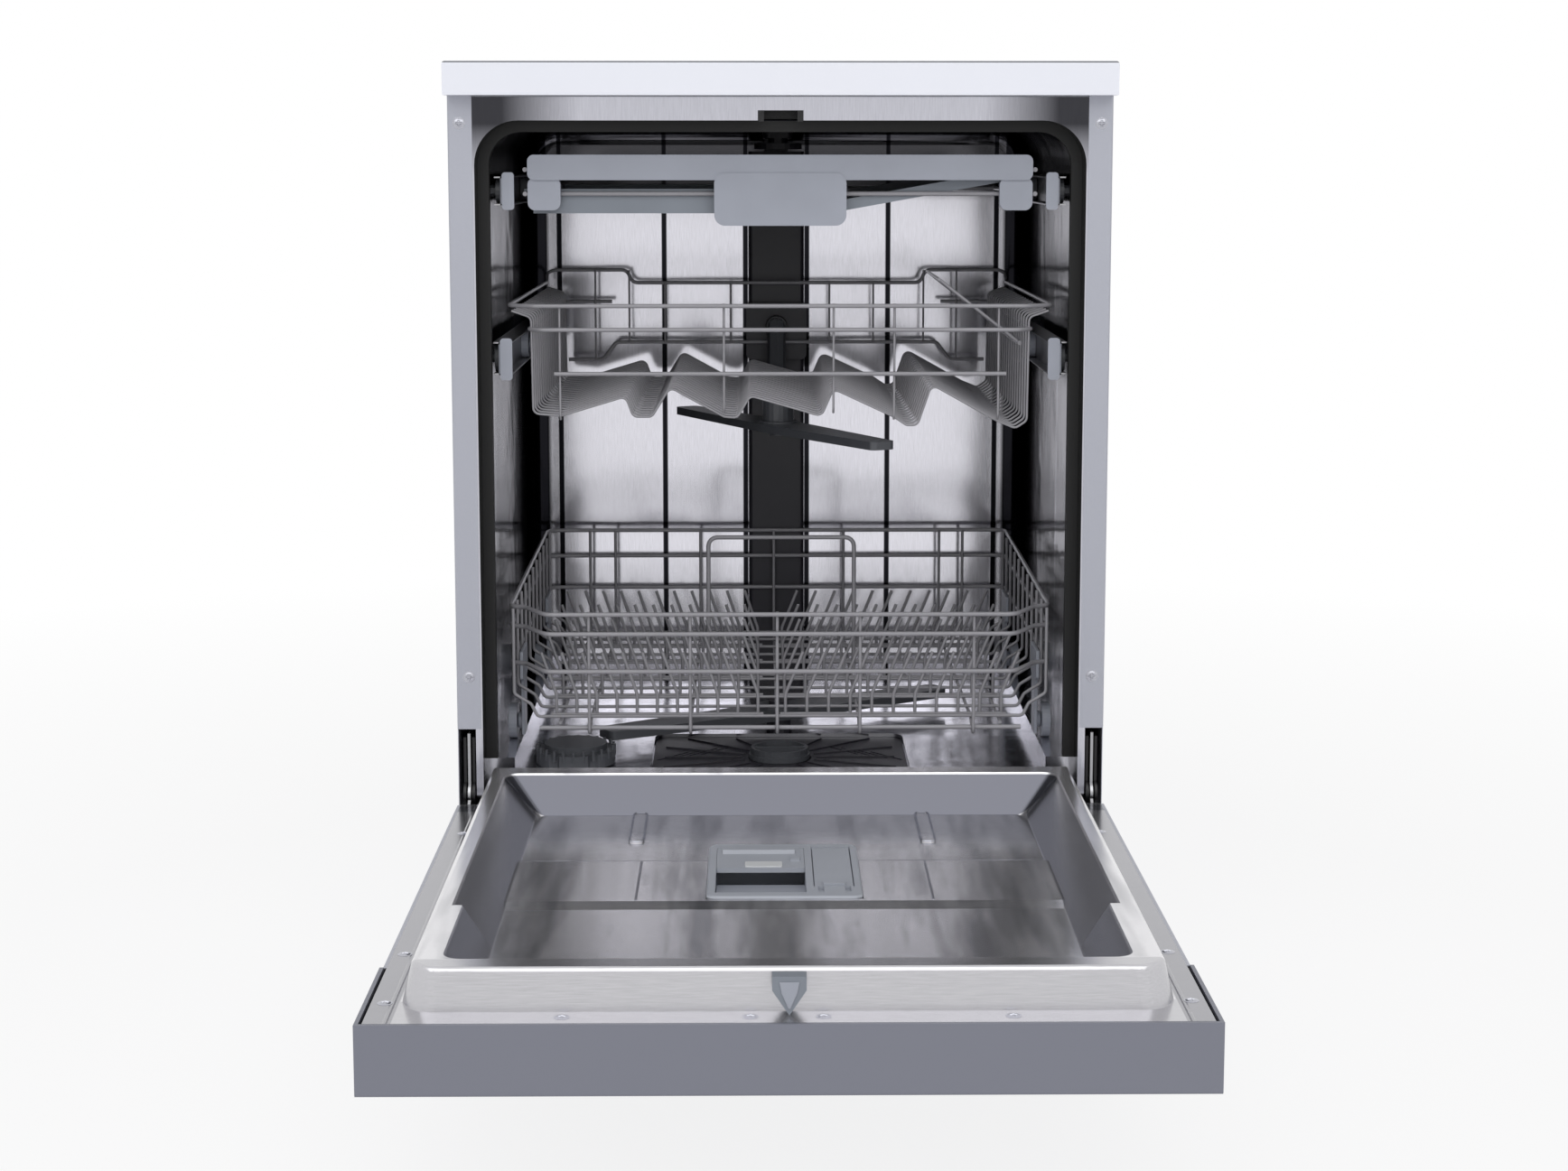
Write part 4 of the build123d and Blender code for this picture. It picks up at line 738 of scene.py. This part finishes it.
addFilterRibs(filterTop)
addCapGrip(filterTop)
print("filter made")

screws = {"head": 4.4, "dome": 0.8, "lift": 0.2, "slot": 0.75, "slotReach": 2.7, "slotDepth": 0.6, "rings": 11,
          "sides": 40, "washer": 1.2,
          "cabinet": [(-288.5, -0.7, 790.5), (288.5, -0.7, 790.5), (-287.5, -0.7, 285), (287.5, -0.7, 285)],
          "door": [(-158, -619, 169), (-27, -619, 169), (24, -619, 169), (156, -619, 169), (-286, -473, 169),
                   (286, -473, 169), (-285, -587, 169), (285, -587, 169), (-281, -122, 169), (281, -122, 169)]}


def addScrews(name, places, body, s, upright):
    # a domed head with a cross recess, on a thin washer
    mesh = bmesh.new()
    head, rings, sides = s["head"], s["rings"], s["sides"]
    for place in places:
        grid = []
        for ring in range(rings + 1):
            radius = head * ring / rings
            row = []
            for i in range(sides):
                a = 2 * math.pi * i / sides
                u, v = radius * math.cos(a), radius * math.sin(a)
                height = s["dome"] * (1 - (radius / head) ** 2.4) + s["lift"]
                if min(abs(u), abs(v)) < s["slot"] and radius < s["slotReach"]:
                    height -= s["slotDepth"]
                local = (u, v, height) if upright else (u, -height, v)
                row.append(mesh.verts.new(at(*[p + q for p, q in zip(place, local)])))
            grid.append(row)
        for first, second in zip(grid, grid[1:]):
            for i in range(sides):
                j = (i + 1) % sides
                mesh.faces.new((first[i], first[j], second[j], second[i]))
        edge = head + s["washer"]
        turnProfile(mesh, [(0, -0.1), (edge, -0.1), (edge, 0.15), (head - 0.2, 0.25)], place,
                    "z" if upright else "-y", sides)
    finishMesh(name, mesh, body, screwSteel)


addScrews("cabinetScrews", screws["cabinet"], "cabinet", screws, False)
addScrews("doorScrews", screws["door"], "door", screws, True)
print("screws made")

stage = {"floorColour": "#F4F4F6", "floorRings": (0, 0.8, 1.6, 2.6, 6, 40), "floorSides": 48,
         "shadowReach": (0.8, 2.4), "shadowShare": 0.16, "skyForDiffuse": 0.4,
         "softbox": {"place": (-0.3, -2.6, 3.3), "aim": (0, -0.1, 0.5), "size": (7.0, 4.0), "power": 98},
         "frontFill": {"place": (0.6, -4.2, 1.3), "aim": (0, 0, 0.4), "size": (4.4, 2.8), "power": 30},
         "lens": 60.04, "cameraPlace": (-0.0227, -2.332, 0.763), "cameraTurn": (82.31, 0, -0.62), "shift": -0.05}


def seenDirectly(tree):
    # 1 for what the camera, a mirror or glass sees, 0 for light that only falls on the machine
    path = addNode(tree, "LightPath")
    seen = addNode(tree, "Math", (path.outputs["Is Camera Ray"], path.outputs["Is Glossy Ray"]), operation="MAXIMUM")
    return addNode(tree, "Math", (seen, path.outputs["Is Transmission Ray"]), operation="MAXIMUM")


def addFloor(s):
    # white where it is seen, but near the machine it keeps a share of its own shading, and so the shadow
    mesh = bmesh.new()
    rings, sides = [], s["floorSides"]
    for radius in s["floorRings"]:
        rings.append([mesh.verts.new((radius * math.cos(2 * math.pi * i / sides),
                                      radius * math.sin(2 * math.pi * i / sides), 0)) for i in range(sides)])
    for first, second in zip(rings, rings[1:]):
        for i in range(sides):
            mesh.faces.new((first[i], second[i], second[(i + 1) % sides], first[(i + 1) % sides]))
    bmesh.ops.remove_doubles(mesh, verts=mesh.verts, dist=1e-6)
    data = bpy.data.meshes.new("floor")
    mesh.to_mesh(data)
    mesh.free()
    floor = bpy.data.objects.new("floor", data)
    bpy.context.scene.collection.objects.link(floor)
    material, tree, shader, place = newMaterial("paleFloor")
    shader.inputs["Base Color"].default_value = linear(s["floorColour"])
    shader.inputs["Roughness"].default_value = 0.9
    white = addNode(tree, "Emission", {"Color": (1, 1, 1, 1), "Strength": 1.0})
    away = addNode(tree, "VectorMath", (place,), operation="LENGTH").outputs["Value"]
    plain = addNode(tree, "MapRange", (away, *s["shadowReach"], 1 - s["shadowShare"], 1.0))
    share = addNode(tree, "Math", (seenDirectly(tree), plain), operation="MULTIPLY")
    mix = addNode(tree, "MixShader", (share, shader, white))
    tree.links.new(mix.outputs[0], tree.nodes["Material Output"].inputs["Surface"])
    data.materials.append(material)


def addSky(s):
    world = bpy.data.worlds.new("studio")
    bpy.context.scene.world = world
    world.use_nodes = True
    tree = world.node_tree
    background = tree.nodes["Background"]
    background.inputs["Color"].default_value = (1, 1, 1, 1)
    strength = addNode(tree, "MapRange", (seenDirectly(tree), 0.0, 1.0, s["skyForDiffuse"], 1.0))
    tree.links.new(strength.outputs[0], background.inputs["Strength"])


def addLight(name, lamp, mirrored):
    light = bpy.data.lights.new(name, "AREA")
    light.shape = "RECTANGLE"
    light.size, light.size_y = lamp["size"]
    light.energy = lamp["power"]
    thing = bpy.data.objects.new(name, light)
    thing.location = lamp["place"]
    thing.rotation_euler = (Vector(lamp["aim"]) - Vector(lamp["place"])).to_track_quat("-Z", "Y").to_euler()
    thing.visible_glossy = mirrored
    bpy.context.scene.collection.objects.link(thing)


def addCamera(s):
    data = bpy.data.cameras.new("camera")
    data.lens = s["lens"]
    data.sensor_width = 36
    data.shift_y = s["shift"]
    camera = bpy.data.objects.new("camera", data)
    camera.location = s["cameraPlace"]
    camera.rotation_euler = [math.radians(angle) for angle in s["cameraTurn"]]
    bpy.context.scene.collection.objects.link(camera)
    bpy.context.scene.camera = camera


bpy.context.scene.view_settings.view_transform = "Standard"
addFloor(stage)
addSky(stage)
addLight("softbox", stage["softbox"], True)
addLight("frontFill", stage["frontFill"], False)  # steel mirrors the white studio behind it, not the lamp as well
addCamera(stage)
print("stage set")
